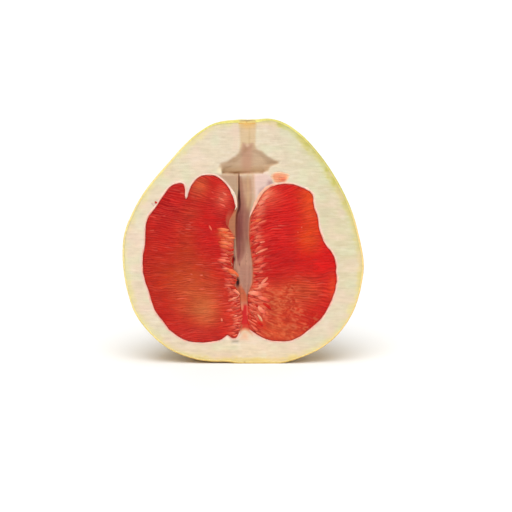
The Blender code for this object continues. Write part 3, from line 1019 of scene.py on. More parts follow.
@dataclass
class PithCut:
    """What the pith's cut face is like at each of its points.

    Attributes:
        points: places as (x, z).
        depth: depth below the plane of the cut.
        pulp: distance inside the lobes, negative outside them.
        edge: distance to the border of the face.
        part, deep: place across the core's trough from 0 to 1, and its depth.
        bed: share of the trough.
        slit: share of the crack.
        lining: distance inside the hollow's soft border.
    """

    points: Array
    depth: Array
    pulp: Array
    edge: Array
    part: Array
    deep: Array
    bed: Array
    slit: Array
    lining: Array


@dataclass
class Pith:
    """The cream pith: its cut face with the hollow, core and crack, and its hidden outside."""

    fruit: Fruit
    lobes: tuple[Lobe, Lobe] = (LEFT_LOBE, RIGHT_LOBE)
    rows: int = 320
    inset: float = 1.2
    corner: float = math.radians(45)
    back_columns: int = 13
    whole_segments: int = 6
    cavity_gap: float = 0.8
    core_radius: float = 6.2
    core_top: float = 113.0
    clearance: float = 0.2
    lobe_room: float = 0.6
    back_gap: float = 0.35
    finish: PithFinish = PithFinish()
    cream: Colour = tone(228, 213, 186)
    hollow: Curve = (
        (-1.0, 138.2), (0.8, 137.8), (1.9, 136.6), (3.0, 137.8), (5.0, 138.2), (6.8, 135.2),
        (11.2, 133.0), (13.6, 130.6), (16.4, 128.6), (21.2, 127.2), (20.6, 125.6),
        (17.0, 123.4), (15.0, 121.0), (11.2, 119.3), (3.4, 119.2), (-3.7, 118.7), (-8.4, 118.8),
        (-13.4, 119.2), (-14.2, 121.4), (-16.0, 123.8), (-14.5, 125.4), (-9.4, 127.4),
        (-5.6, 130.4), (-2.6, 133.4), (-1.6, 135.8),
    )
    # The core's trough, as (z, left, right, depth)
    trough: Stations = (
        (22.0, -3.0, 3.4, 0.0), (27.0, -2.8, 3.2, 0.05), (36.0, -3.4, 3.6, 0.25),
        (44.0, -5.0, 4.4, 2.0), (52.0, -7.4, 6.8, 2.6), (60.0, -9.2, 7.6, 2.9),
        (74.0, -8.6, 6.4, 2.9), (80.0, -9.0, 5.4, 2.8), (88.0, -12.2, 5.6, 2.5),
        (96.5, -9.0, 6.8, 2.0), (103.0, -4.6, 7.0, 1.2), (117.0, -4.4, 6.4, 0.9),
        (120.0, -4.4, 6.4, 0.5),
    )
    # The crack, as (z, left, right, depth)
    crack: Stations = (
        (62.0, -4.5, -4.1, 0.2), (74.0, -5.1, -4.3, 1.0), (82.0, -5.5, -4.2, 1.9),
        (90.0, -5.5, -4.0, 2.3), (94.0, -5.3, -3.8, 2.3), (97.0, -4.3, -2.7, 2.4),
        (105.0, -4.1, -2.6, 2.6), (109.0, -3.8, -2.8, 2.4), (119.4, -3.7, -3.0, 2.0),
    )
    # The purplish brown painted shade on the core's left, beside the crack, as (z, left, right, share)
    painted_core_shade: Stations = (
        (62.5, -4.0, -3.0, 0.2), (66.0, -4.4, -2.2, 0.9), (70.0, -4.6, -1.0, 0.95),
        (75.0, -4.9, -0.2, 0.9), (80.0, -5.1, 1.4, 0.95), (91.0, -4.9, 2.2, 1.0),
        (95.5, -4.2, 1.2, 0.9), (99.0, -3.5, 0.2, 0.8), (106.0, -3.3, -0.8, 0.6),
        (118.0, -3.2, -2.0, 0.3),
    )
    # Gaps between the left lobe and the core, as (x, z, wide, high, depth); their near black colour is
    # painted shadow
    holes: tuple[tuple[float, float, float, float, float], ...] = (
        (-6.4, 65.7, 0.75, 1.8, 0.6), (-4.2, 51.0, 1.0, 2.6, 1.0), (-3.1, 62.3, 0.45, 0.9, 0.2),
    )
    # A dent and two bumps of the pith, the same way
    dents: tuple[tuple[float, float, float, float, float], ...] = (
        (-5.9, 13.6, 2.2, 0.9, 0.9), (-10.4, 17.2, 2.0, 1.8, -0.5), (-15.4, 121.4, 1.3, 1.6, -0.5),
    )
    zones: tuple[Zone, ...] = soft_zones(
        (-48, 120, 16, 16, 231, 215, 181, 0.5),
        (-66, 60, 10, 40, 233, 213, 187, 0.8),
        (0, 6, 45, 9, 234, 213, 180, 0.7),
        (64, 62, 9, 30, 225, 212, 176, 0.7),
        (40, 128, 18, 14, 223, 212, 182, 0.6),
        (58, 100, 22, 60, 214, 205, 164, 0.6),
    )
    patches: tuple[Patch, ...] = (
        Patch(((-7.4, 134), (-7.0, 152.5), (-3.2, 152.5), (-3.0, 133)), tone(233, 208, 186), 1.6, 0.6),
        Patch(((-2.6, 135), (-3.0, 153.5), (7.2, 153.5), (7.0, 134)), tone(216, 185, 143), 1.2, 0.85),
        Patch(((2.6, 136), (2.7, 150), (3.6, 150), (3.5, 136)), tone(202, 168, 120), 0.6, 0.5),
        Patch(((-2.4, 148.6), (-3.0, 154), (6.8, 154), (6.6, 148.6), (1.6, 147.4)),
              tone(232, 190, 122), 1.8, 0.8),
        Patch(((0.4, 149.6), (0.0, 154), (3.8, 154), (3.6, 150.0)), tone(242, 184, 94), 1.2, 0.8),
        Patch(((-16.6, 122.8), (-15.0, 123.2), (-13.6, 120.6), (-14.6, 119.6), (-16.0, 120.8)),
              tone(240, 220, 180), 1.2, 0.7),
        Patch(((-3.6, 119.0), (-17.5, 119.0), (-12.4, 114.4), (-8, 108.5), (-5.2, 101), (-4.6, 97),
               (-3.6, 97)), tone(184, 148, 118), 1.0, 0.9),
        Patch(((-7.2, 112.5), (-6.4, 112.6), (-5.4, 104), (-6.2, 104)), tone(178, 138, 110), 0.5, 0.5),
        Patch(((5.4, 119.6), (12.0, 119.8), (18.5, 117), (15.4, 112.6), (9.0, 107), (6.4, 101)),
              tone(231, 200, 188), 1.6, 0.95),
        Patch(((4.6, 119), (6.4, 119), (7.4, 100), (5.4, 98)), tone(218, 174, 144), 1.0, 0.7),
        # Two mauve spots on the lilac membrane: painted shade in its concave dips
        Patch(((8.8, 107.2), (9.4, 109.6), (11.8, 111.0), (12.8, 110.0), (11.4, 107.6)),
              tone(184, 142, 140), 1.6, 0.85),
        Patch(((14.0, 112.4), (14.8, 115.2), (17.4, 115.2), (18.0, 113.2), (16.0, 111.8)),
              tone(176, 134, 132), 1.6, 0.9),
        # Grey below the left lobe's foot: a painted shadow on the pith
        Patch(((-8.4, 12.8), (-7.2, 15.0), (-3.6, 14.8), (-4.0, 12.8)), tone(200, 186, 166), 0.8, 0.8),
        Patch(((-12.8, 15.6), (-11.2, 18.2), (-9.0, 17.0), (-9.4, 14.8)), tone(252, 236, 212), 0.9, 0.8),
        Patch(((-2.4, 15.6), (-1.6, 19.4), (0.2, 20.6), (2.4, 18.8), (1.8, 15.2)), tone(238, 188, 154),
              2.4, 1.0),
        Patch(((-4.6, 24.0), (4.0, 24.0), (4.0, 42.0), (5.0, 50.0), (-6.0, 50.0), (-4.6, 40.0)),
              tone(200, 88, 52), 1.2, 1.0),
        Patch(((-3.8, 17.8), (-1.6, 20.4), (0.4, 21.2), (2.4, 20.2), (5.2, 17.6), (4.0, 23.8), (-2.6, 23.8)),
              tone(224, 142, 98), 0.9, 0.9),
        Patch(((-3.2, 21.4), (0.4, 22.6), (3.8, 21.4), (3.2, 27.6), (-2.4, 27.6)), tone(208, 52, 32),
              0.9, 0.95),
        Patch(((-3.0, 25.4), (0.2, 25.0), (3.4, 25.4), (3.2, 34.0), (1.2, 40.0), (-0.4, 38.0),
               (-1.8, 33.6)), tone(206, 22, 10), 0.9, 1.0),
        Patch(((1.3, 30.8), (2.6, 30.6), (2.7, 37.4), (1.4, 37.8)), tone(240, 100, 78), 0.5, 0.85),
        Patch(((-2.3, 33.6), (-0.9, 33.8), (-0.5, 36.4), (-1.2, 38.2), (-2.2, 37.6)),
              tone(226, 126, 96), 0.5, 0.85),
        Patch(((-5.4, 16.2), (-3.6, 17.6), (-2.0, 21.0), (-1.0, 24.6), (-1.9, 24.8), (-3.0, 21.2),
               (-5.0, 17.4)), tone(184, 100, 66), 0.7, 0.8),
    )
    # The olive tan wall of the left segment, and the pale part of the core that ends in a point
    wall: Patch = Patch(((-11.2, 82.0), (-10.9, 88.0), (-9.0, 94.2), (-6.0, 98.0), (-4.6, 97.0),
                         (-5.2, 93.0), (-5.4, 80.0), (-7.5, 79.0)), tone(180, 114, 78), 0.7, 0.9)
    point: Patch = Patch(((-3.0, 62.0), (-2.8, 53.0), (-1.4, 48.4), (0.8, 44.6), (1.6, 43.0),
                          (2.4, 45.0), (3.9, 48.6), (4.8, 54.0), (5.2, 62.0)),
                         tone(182, 132, 112), 0.7, 0.95)

    def columns(self) -> Array:
        """Fractions across the face, close over the core and wider beside it, mirrored."""
        near = np.linspace(0.0, 0.06, 44)
        beside = np.linspace(0.06, 0.15, 30)[1:]
        far = np.linspace(0.15, 0.5, 52)[1:]
        half = np.concatenate([near, beside, far])
        return np.concatenate([0.5 - half[:0:-1], 0.5 + half])

    def face(self) -> Array:
        """The cut face as rows by columns of (x, z).

        A Coons patch between four stretches of the border, whose corners lie at 45 degrees
        to the axis on both sides.
        """
        across, up = self.columns(), np.linspace(0.0, 1.0, self.rows)
        turn = (2 * across - 1) * self.corner
        side = self.corner + up * (math.pi - 2 * self.corner)

        def border(angles: Array) -> Array:
            """Border points at angles from straight down, to the left where negative."""
            right = self.fruit.surface(np.abs(angles), [0.0], self.inset)[:, 0]
            left = self.fruit.surface(np.abs(angles), [math.pi], self.inset)[:, 0]
            return np.where(angles[:, None] < 0, left, right)[:, (0, 2)]

        bottom = border(turn)[None]
        top = border(np.where(turn < 0, -math.pi - turn, math.pi - turn))[None]
        left, right = border(-side)[:, None], border(side)[:, None]
        u, v = across[None, :, None], up[:, None, None]
        corners = ((1 - v) * ((1 - u) * bottom[:, :1] + u * bottom[:, -1:])
                   + v * ((1 - u) * top[:, :1] + u * top[:, -1:]))
        return (1 - u) * left + u * right + (1 - v) * bottom + v * top - corners

    def channel(self, stations: Stations, points: Array) -> tuple[Array, Array]:
        """Place across a channel, from 0 at its left edge to 1 at its right, and its depth.

        Args:
            stations: its edges and depth at rising heights.
            points: places as (x, z).

        Returns:
            The place across, and the depth, which is 0 above and below the channel.
        """
        known = np.array(stations)
        z = points[..., 1]
        left, right, depth = (smooth(known[:, 0], known[:, axis], z) for axis in (1, 2, 3))
        live = (z >= known[0, 0]) & (z <= known[-1, 0])
        return (points[..., 0] - left) / (right - left), depth * live

    def relief(self) -> PithCut:
        """The face's depth, from low waves with one thing after another sunk into them.

        Returns:
            The face, with the core's trough, the crack, the hollow, the holes, the oval's seat, the
            left segment's wall and the room for the lobes.
        """
        points = self.face()
        x, z = points[..., 0], points[..., 1]
        pulp = np.stack([depth_inside(points, lobe.outline()) for lobe in self.lobes]).max(axis=0)
        edge = distance_to(points, rim_of(points)[::4])
        depth = 0.035 * drift(41, x / 4, z / 1.1) * ease(edge, 0.5, 3)
        depth = depth + 0.07 * drift(42, x / 3, z / 2.2) + 0.05
        part, deep = self.channel(self.trough, points)
        bed = ease(part, 0.0, 0.22) * ease(-part, -1.0, -0.72)
        ridge = 1 - 0.55 * hump(part, 0.64, 0.16) - 0.25 * hump(part, 0.3, 0.12)
        depth = depth + deep * bed * ridge
        gap, cleft = self.channel(self.crack, points)
        slit = ease(gap, -0.25, 0.3) * ease(-gap, -1.25, -0.7)
        depth = np.maximum(depth, cleft * slit)
        inside = depth_inside(points, np.array(self.hollow))
        inside = inside + 0.35 * drift(46, x / 2.6, z / 2.0) + 0.15 * drift(47, x, z)
        slope = np.interp(z, (119.0, 122.5, 130.0, 137.5), (4.6, 4.2, 2.8, 0.8))
        fold = 1 - 0.02 * np.abs(x - 1.5) - 0.12 * hump(x, 1.6, 1.8)
        soft = -0.4 - 1.0 * ease(z, 123.5, 126)
        cave = ease((inside - soft) / (1.0 + 4.0 * ease(z, 120, 124)), 0.0, 1.0) * slope * fold
        depth = np.maximum(depth, cave)
        for spot_x, spot_z, wide, high, sunk in (*self.holes, *self.dents):
            depth = depth + sunk * hump(x, spot_x, wide) * hump(z, spot_z, high)
        oval = np.hypot((x - 22.0) / 5.6, (z - 117.2) / 3.6)
        depth = depth + 0.7 * ease(-oval, -0.9, -0.6)
        margin = ease(pulp, -0.5, 0.1) * (np.abs(x) < 9.5) * ease(z, 36, 44) * ease(-z, -98, -95)
        depth = np.maximum(depth, np.where(x > 0, 0.8, 1.4) * margin)
        wall = self.wall.weight(points)
        depth = depth * (1 - wall) + wall * (0.95 + 0.1 * drift(51, x / 1.5, z / 5))
        near = self.core_radius
        room = np.where(np.abs(x) < 0.937 * near, np.sqrt(np.clip(near**2 - x**2, 0.1, None)),
                        np.abs(x) * math.tan(CUT_SEGMENT_ANGLE)) - self.clearance
        depth = np.where(z < self.core_top, np.minimum(depth, room), depth)
        floor = np.abs(x) * math.tan(CUT_SEGMENT_ANGLE) + self.lobe_room
        depth = depth + ease(pulp, 0.15, 0.8) * np.maximum(floor - depth, 0)
        return PithCut(points, depth, pulp, edge, part, deep, bed, slit * (cleft > 0.1), inside - soft)

    def face_colours(self, cut: PithCut) -> Array:
        """Cream with soft zones and streaks, the patches, the hollow, the core, the rims and painted shade.

        Args:
            cut: the face.

        Returns:
            Linear colours.
        """
        points, pulp, edge = cut.points, cut.pulp, cut.edge
        x, z = points[..., 0], points[..., 1]
        colour = np.broadcast_to(self.cream, (*x.shape, 3))
        for zone in self.zones:
            colour = tint(colour, zone.colour, zone.weight(x, z))
        right = ease(x, 18, 48) * ease(z, 45, 100)
        wobble = 2.2 * drift(43, x / 9, z / 9)
        grey = drift(52, x / 3.2, z / 1.6) + 0.5 * drift(53, x / 1.6, z / 0.9)
        mixed = drift(54, x / 2.4, z / 1.6) + 0.5 * drift(55, x / 1.2, z / 1.2)
        band = ease(-edge + 0.5 * wobble + 0.9 * mixed, -4.2, 0.2)
        upper = band * ease(x, 4, 24)
        cloud = drift(44, x / 6, z / 5)
        colour = shaded(
            colour,
            (212, 214, 150, 0.8 * right * ease(-edge + wobble, -7.5, -0.5)),
            (206, 190, 160, 0.32 * ease(grey, 0.1, 1.0)),
            (242, 232, 212, 0.34 * ease(-grey, 0.1, 1.0)),
            (232, 218, 152, 0.8 * band),
            (234, 204, 126, 0.85 * band * ease(-z, -9, -2)),
            (222, 204, 132, 0.8 * upper * ease(z, 30, 60)),
            (200, 194, 100, (0.75 + 0.25 * mixed) * upper * ease(z, 84, 112)),
            (238, 208, 190, 0.36 * ease(cloud, 0.1, 0.8)),
            (216, 222, 184, 0.34 * ease(-cloud, 0.1, 0.8)),
        )
        for patch in self.patches:
            colour = tint(colour, patch.colour, patch.weight(points))
        lining = ease(cut.lining / (1.2 + 1.2 * ease(z, 120, 124)), 0.0, 1.0)
        lip = hump(x, -15.2, 1.3) * hump(z, 121.6, 1.5)
        colour = shaded(self.hollow_colours(colour, x, z, lining), (244, 226, 190, 0.8 * lip))
        floor = ease(cut.part, -0.12, 0.06) * ease(-cut.part, -1.0, -0.72) * ease(cut.deep, 0.25, 1.2)
        tan = ease(-np.abs(x), -13, -10.5) * ease(z, 44, 50) * ease(-z, -99, -96)
        between = ease(-np.abs(x), -6.5, -4.5) * ease(-z, -50, -44) * ease(z, 19, 22)
        near = ease(pulp, -2.2, -0.2) * (1 - cut.bed) * (1 - tan) * (1 - between)
        beside = ease(pulp, -1.1, -0.1) * (np.abs(x) < 9) * (1 - between)
        return shaded(
            self.core_colours(colour, points, floor, cut.slit),
            (244, 214, 198, 0.5 * near),
            (208, 104, 72, 0.8 * ease(pulp, -1.6, -0.3) * (x < 0) * tan * ease(z, 78, 82)),
            (224, 122, 92, 0.75 * beside * ease(-z, -66, -50)),
            (222, 140, 108, 0.6 * beside * (x > 0) * ease(z, 50, 60) * ease(-z, -99, -92)),
            # Near black red in the holes: a painted shadow inside the gaps
            *((104, 26, 12, np.clip(sunk + 0.6, 0, 1.5) * (hump(x, hole_x, wide) * hump(z, hole_z, high)))
              for hole_x, hole_z, wide, high, sunk in self.holes),
            (120, 30, 20, ease(pulp, 0.3, 1.0)),
        )

    def build(self) -> bpy.types.Object:
        """The cut face as a height field, closed behind under the skin, with room for the pulp."""
        cut = self.relief()
        x, z = cut.points[..., 0], cut.points[..., 1]
        form = Form()
        flow = np.stack([x, z, 0 * x], axis=-1)
        front = form.add(np.stack([x, cut.depth, z], axis=-1), self.face_colours(cut), flow)
        form.patch(front)
        self.add_back(form, front)
        self.add_cavity(form)
        return form.piece("pith", self.finish.material(), Slot.PITH, "rind")

    def hollow_colours(self, colour: Array, x: Array, z: Array, lining: Array) -> Array:
        """Tan inside the hollow, pinkish in the middle, olive brown painted shade low down at the sides,
        painted shadow along its bottom edge.

        Args:
            colour: colours so far.
            x: place across the cut face.
            z: height.
            lining: where the hollow is, from 0 to 1.

        Returns:
            The colours with the hollow's own.
        """
        middle = ease(x, -4.0, 0.4) * ease(-x, -7.0, -2.6)
        # A line along the hollow's bottom edge, painted shadow under its lip, and its strength
        line = hump(z, 119.9 + 0.3 * drift(48, x / 3), 0.8) * lining
        painted_shade = 0.42 + 0.5 * hump(x, -4.4, 3.0) + 0.2 * drift(49, x / 2.5)
        return shaded(
            colour,
            (208, 176, 143, lining * 0.95),
            (202, 154, 126, lining * middle * 0.8),
            (188, 146, 112, lining * hump(x, 0.6, 1.6) * hump(z, 134.4, 2.2) * 0.7),
            # Olive brown low down: painted shade deep in the recess
            (193, 154, 110, lining * ease(-z, -126, -120) * (1 - 0.5 * middle) * 0.7),
            (182, 148, 112, lining * hump(x, 16.5, 4.0) * hump(z, 126, 2.5) * 0.6),
            (226, 192, 166, 0.8 * hump(x, 2.0, 1.3) * hump(z, 137.0, 0.9)),
            (146, 98, 58, np.clip(line * painted_shade, 0, 1)),
        )

    def core_colours(self, colour: Array, points: Array, bed: Array, slit: Array) -> Array:
        """Colours of the core: purplish brown painted shade on the left, tan on the right, painted shadow in
        the crack.

        Args:
            colour: colours so far.
            points: places as (x, z).
            bed: where the core's trough is, from 0 to 1.
            slit: where the crack is, from 0 to 1.

        Returns:
            The colours with the core's own.
        """
        x, z = points[..., 0], points[..., 1]
        streak = drift(50, x / 0.8, z / 9)
        right_strip = hump(x, 2.3 + 0.3 * streak, 0.7) * ease(z, 94, 104)
        # Purplish brown beside the crack: painted shade where the core lies deep between the lobes
        part, share = self.channel(self.painted_core_shade, points)
        shade = share * ease(part, -0.15, 0.1) * ease(-part, -1.8, -0.5)
        speckle = ease(drift(45, x / 0.7, z / 0.8), 0.6, 0.85) * bed * ease(-z, -84, -70)
        colour = shaded(colour, (190, 144, 112, bed * 0.95), (208, 170, 126, bed * right_strip * 0.6))
        colour = tint(colour, self.wall.colour, self.wall.weight(points))
        colour = shaded(
            colour,
            (192, 142, 120, bed * ease(-z, -80, -68) * ease(x, -8.5, -6) * 0.9),
            (130, 64, 60, np.clip(shade * (1 + 0.12 * streak), 0, 1)),
            (168, 112, 94, 0.75 * shade * ease(part, 0.25, 0.8)),
            (200, 96, 60, bed * ease(-z, -52, -46) * 0.95),
        )
        colour = tint(colour, self.point.colour, self.point.weight(points))
        colour = shaded(colour, (130, 86, 60, speckle * 0.4))
        # The crack's deep red brown is a painted shadow inside the gap
        crack = shaded(
            np.broadcast_to(tone(94, 32, 34), colour.shape),
            (146, 92, 62, ease(z, 106, 111)),
            (126, 56, 44, ease(-z, -97, -94)),
        )
        fade = (slit * (0.9 - 0.6 * ease(-z, -82, -68)))[..., None]
        return colour * (1 - fade) + crack * fade

    def add_back(self, form: Form, front: Array) -> None:
        """Close the pith under the skin, from the right border over the back to the left."""
        across = self.columns()
        middle = len(across) // 2
        up = np.linspace(0.0, 1.0, self.rows)
        turn = (2 * across[middle:] - 1) * self.corner
        angles = np.concatenate([turn[:-1], self.corner + up * (math.pi - 2 * self.corner),
                                 math.pi - turn[-2::-1]])
        azimuths = np.linspace(0, math.pi, self.back_columns)
        inner = self.fruit.surface(angles[1:-1], azimuths[1:-1], self.inset + self.back_gap)
        colour = np.broadcast_to(self.cream, inner.shape)
        middle_part = form.add(inner, colour)
        right = np.concatenate([front[0, middle:-1], front[:, -1], front[-1, -2:middle - 1:-1]])
        left = np.concatenate([front[0, middle:0:-1], front[:, 0], front[-1, 1:middle + 1]])
        grid = np.concatenate([right[1:-1, None], middle_part, left[1:-1, None]], axis=1)
        form.patch(grid, flip=True)
        form.fan(int(right[0]), grid[0], flip=True)
        form.fan(int(right[-1]), grid[-1])

    def add_cavity(self, form: Form) -> None:
        """The closed space of the whole segments, whose faces look inwards."""
        first = CUT_SEGMENT_ANGLE + math.radians(0.4)
        azimuths = np.linspace(first, math.pi - first, 2 * self.whole_segments + 1)
        loop = rim_of(DEEP_LOBE.grid(np.linspace(0, 1, 14), np.linspace(0, 1, 16)))
        middle = loop.mean(axis=0)
        away = loop - middle
        loop = loop + self.cavity_gap * away / np.linalg.norm(away, axis=1)[:, None]
        rings = form.add(np.stack([turned(loop, azimuth) for azimuth in azimuths]), self.cream)
        form.tube(rings)
        for ring, azimuth, flip in ((rings[0], azimuths[0], False), (rings[-1], azimuths[-1], True)):
            form.cap(ring, turned(middle, azimuth), self.cream, flip)


@dataclass(frozen=True)
class Grain:
    """How the juice sacs of a lobe lie.

    Attributes:
        tilt: rise of a sac for each millimetre away from the core, as (z, rise).
        fringe: how much more it rises beside the core, as (z, rise).
        mottle: where the sacs are cut across and show as pale specks.
        length, width: of a sac in the middle of the lobe.
        reach: how far the fringe beside the core goes.
    """

    tilt: Curve
    fringe: Curve
    mottle: tuple[Zone, ...]
    length: float = 8.0
    width: float = 1.5
    reach: float = 7.0

    def read(self, curve: Curve, z: Array) -> Array:
        """A curve's value at a height."""
        known = np.array(curve)
        return smooth(known[:, 0], known[:, 1], z)

    def rise(self, z: Array, away: Array) -> Array:
        """Rise of the sacs: the tilt, and the fringe's share, which dies away from the core."""
        return self.read(self.tilt, z) + self.read(self.fringe, z) * np.exp(-away / self.reach)

    def rank(self, radius: Array, z: Array, away: Array) -> Array:
        """A number that stays the same along a sac: the height, less what the sac has risen."""
        fringe = self.read(self.fringe, z) * self.reach * np.exp(-away / self.reach)
        return z - self.read(self.tilt, z) * (radius - 28) + fringe


@dataclass
class CutPulp:
    """An opened pulp segment, with its juice sacs on the cut face."""

    name: str
    lobe: Lobe
    grain: Grain
    base: Colour
    zones: tuple[Zone, ...]
    rows: int = 500
    columns: int = 188
    swell: float = 0.2
    fringe_swell: float = 0.55
    spread: float = 0.08
    fringe_top: float = 102.0
    lines: float = 0.7
    lined: tuple[Zone, ...] = ()
    edging: float = 0.0
    bed: float = 0.15
    gap: float = 0.15
    # Colour of the painted highlights on the sacs' upper edges and middles
    pale: Colour = tone(238, 120, 98)
    salmon: Colour = tone(247, 132, 102)
    # Colour of the painted shade in the furrows, between the broad sacs and along the border
    painted_shade: Colour = tone(150, 18, 16)
    edge: Colour = tone(222, 120, 88)
    finish: PulpFinish = PulpFinish()

    def build(self) -> bpy.types.Object:
        """The segment: its face as a grid, its sides and its flat back."""
        seed = 100 if self.lobe.side is Side.LEFT else 200
        across, up = np.linspace(0, 1, self.columns), np.linspace(0, 1, self.rows)
        flat = self.lobe.grid(across, up, notched=False)
        radius, z = flat[..., 0], flat[..., 1]
        x = radius * self.lobe.side.value
        inside = depth_inside(np.stack([x, z], -1), self.lobe.outline())
        notch = ease(-inside, 0.02, 0.6) * ease(z, 98, 101)
        inside = np.maximum(inside, 0)
        away = np.maximum(radius - flat[:, :1, 0], 0)

        rank = self.grain.rank(radius, z, away)
        rank = rank + 1.2 * drift(seed, radius / 15, z / 11) + 0.5 * drift(seed + 1, radius / 6, z / 3.5)
        rank = rank + 0.16 * drift(seed + 20, radius / 2.2, z / 1.3)
        along = radius + 2.5 * drift(seed + 2, radius / 8, z / 2.5) + 0.5 * drift(seed + 21, radius, z)
        fine = divide(seed + 3, along / self.grain.length, rank / self.grain.width)
        broad = divide(seed + 6, along / (1.15 * self.grain.length), rank / (1.5 * self.grain.width))
        fringe = np.exp(-away / self.grain.reach) + 0.15 * drift(seed + 7, radius / 4, z / 3)
        beside = ease(fringe, 0.25, 0.6) * ease(-z, -self.fringe_top - 4, -self.fringe_top + 3)
        specked = sum(zone.weight(x, z) for zone in self.grain.mottle)
        specked = ease(specked + 0.3 * drift(seed + 15, radius / 7, z / 6), 0.3, 0.75) * (1 - 0.6 * beside)
        speck = (0.4 * drift(seed + 16, along / 2.2, rank / 1.5)
                 + 0.65 * drift(seed + 17, along / 1.2, rank / 0.9)
                 + 0.25 * drift(seed + 18, along / 4, rank / 3))

        height = (1 - beside) * (self.swell * fine.dome() + self.spread * fine.pick)
        height = height + beside * (self.fringe_swell * broad.dome() + 2.2 * self.spread * broad.pick)
        height = height * (1 - specked) + specked * (0.15 + 0.22 * np.clip(speck, -0.7, 0.8))
        roll = 1 - np.exp(-inside / 0.7)
        beside_core = hump(away, 0.0, 2.2) * ease(z, 36, 46) * ease(-z, -100, -94)
        y = 0.3 * (1 - roll) - roll * (self.bed + height) + 0.6 * beside_core + 0.4 * notch
        edging = self.edging * ease(-away, -1.5, -0.3) * ease(z, 44, 50) * ease(-z, -99, -92)
        colour = shaded(
            self.colours(x, z, rank, fine, broad, beside),
            (228, 126, 86, 0.42 * specked * ease(speck, -0.05, 0.6)),
            (178, 40, 26, 0.45 * specked * ease(-speck, -0.05, 0.6)),
        )
        # Deeper red just inside the lobe's border: painted shade
        colour = tint(colour, self.painted_shade, 0.6 * ease(-inside, -1.2, -0.2) * ease(away, 0.5, 3))
        colour = tint(colour, self.edge, edging * (0.8 + 0.2 * drift(seed + 22, z / 2)))
        colour = shaded(colour, (240, 214, 190, notch))

        form = Form()
        flow = np.stack([along, rank, fine.pick * 40], axis=-1)
        face = form.add(np.stack([x, y, z], axis=-1), colour, flow)
        mirrored = self.lobe.side is Side.LEFT
        form.patch(face, flip=mirrored)
        azimuth, behind = 0.0, CUT_SEGMENT_ANGLE
        if mirrored:
            azimuth, behind = math.pi, math.pi - CUT_SEGMENT_ANGLE
        deep = rim_of(DEEP_LOBE.grid(across, up))
        far = turned(deep, behind, math.copysign(self.gap, azimuth - behind))
        rim = rim_of(face[..., None])[:, 0]
        near = turned(rim_of(flat), azimuth)
        middle = form.add((near * 0.96 + np.mean(near, axis=0) * 0.04 + far) / 2, self.base)
        back = form.add(far, self.base)
        form.tube(np.stack([rim, middle, back]), flip=not mirrored)
        form.cap(back, far.mean(axis=0), self.base, flip=not mirrored)
        node = self.name.replace("pulp", "cut_segment")
        return form.piece(self.name, self.finish.material(), Slot.CUT_PULP, node)

    def colours(self, x: Array, z: Array, rank: Array, fine: Sacs, broad: Sacs,
                beside: Array) -> Array:
        """Zones of red and orange, a tone for each sac, painted highlights on upper edges and painted shade
        in furrows.

        Args:
            x: place across the cut face.
            z: height.
            rank: place across the grain.
            fine: the sacs in the middle of the lobe.
            broad: the sacs beside the core.
            beside: share of the broad sacs.

        Returns:
            Linear colours.
        """
        cloud = drift(301, x / 9, z / 3)
        colour = np.broadcast_to(self.base, (*x.shape, 3))
        for zone in self.zones:
            colour = tint(colour, zone.colour, np.clip(zone.weight(x, z) * (1 + 0.2 * cloud), 0, 1))
        grain = drift(303, x / 7, rank / 1.4) + 0.7 * drift(305, x / 2.8, rank / 0.9)
        colour = colour * (0.95 + 0.1 * fine.pick + 0.06 * grain)[..., None]
        # Lighter along each sac's middle, deeper red at its border: painted light and painted shade
        ripple = (1 - beside) * np.cos(2 * math.pi * np.clip(fine.lean, -0.5, 0.5))
        strength = self.lines * (0.8 + 0.7 * drift(304, x / 5, rank / 3)) + sum(
            zone.weight(x, z) for zone in self.lined)
        strength = np.clip(strength, 0, 1.5)
        wave = np.clip(ripple + 0.3 * grain, -1, 1) * strength
        colour = colour * (1 + 0.1 * wave)[..., None]
        colour = tint(colour, self.pale, 0.1 * np.clip(wave, 0, 1))
        colour = tint(colour, self.painted_shade, 0.24 * np.clip(-wave, 0, 1))

        def streaks(sacs: Sacs, most: float, least: float, rare: float) -> Array:
            """Share of the painted highlight on a sac's upper edge: strong on a few sacs, faint on the
            others.
            """
            strong = least + (most - least) * ease(np.mod(sacs.pick * 37.0, 1.0), rare, 1.0)
            strong = strong * ease(sacs.lean, 0.0, 0.3) * ease(sacs.gap, 0.02, 0.2)
            return strong * ease(-sacs.near, -0.75, -0.3)

        # Where the painted highlights on the upper edges are strong
        light = np.clip(strength, 0, 1.2) * ease(drift(302, x / 12, z / 8), -0.4, 0.6)
        colour = tint(colour, self.pale, (1 - beside) * light * streaks(fine, 0.5, 0.05, 0.72))
        # Deep red between the broad sacs: painted shade in the furrows
        colour = tint(colour, self.painted_shade, 0.7 * beside * ease(-broad.gap, -0.35, -0.02))
        # Salmon bodies of the broad sacs, and painted highlights on their upper edges
        body = 0.15 + 0.5 * ease(np.mod(broad.pick * 17.0, 1.0), 0.3, 0.9)
        body = body * broad.dome() * 0.7
        return tint(colour, self.salmon, beside * (body + streaks(broad, 0.85, 0.25, 0.3)))


@dataclass(frozen=True)
class Cluster:
    """A cluster of sac ends that point to the core.

    Attributes:
        low, high: range of z.
        count: how many sac ends.
        length, width: least and greatest.
        body, end: colours of the sac, and of its end and of the painted highlight on its upper side.
        poke: how far the ends stand over the lobe's edge, least and greatest.
        lift: how far the sacs stand proud of the cut.
        loose: how far a sac may turn from the grain, in degrees.
    """

    low: float
    high: float
    count: int
    length: tuple[float, float]
    width: tuple[float, float]
    body: Colour
    end: Colour
    poke: tuple[float, float] = (-0.4, 0.9)
    lift: float = 0.2
    loose: float = 15.0


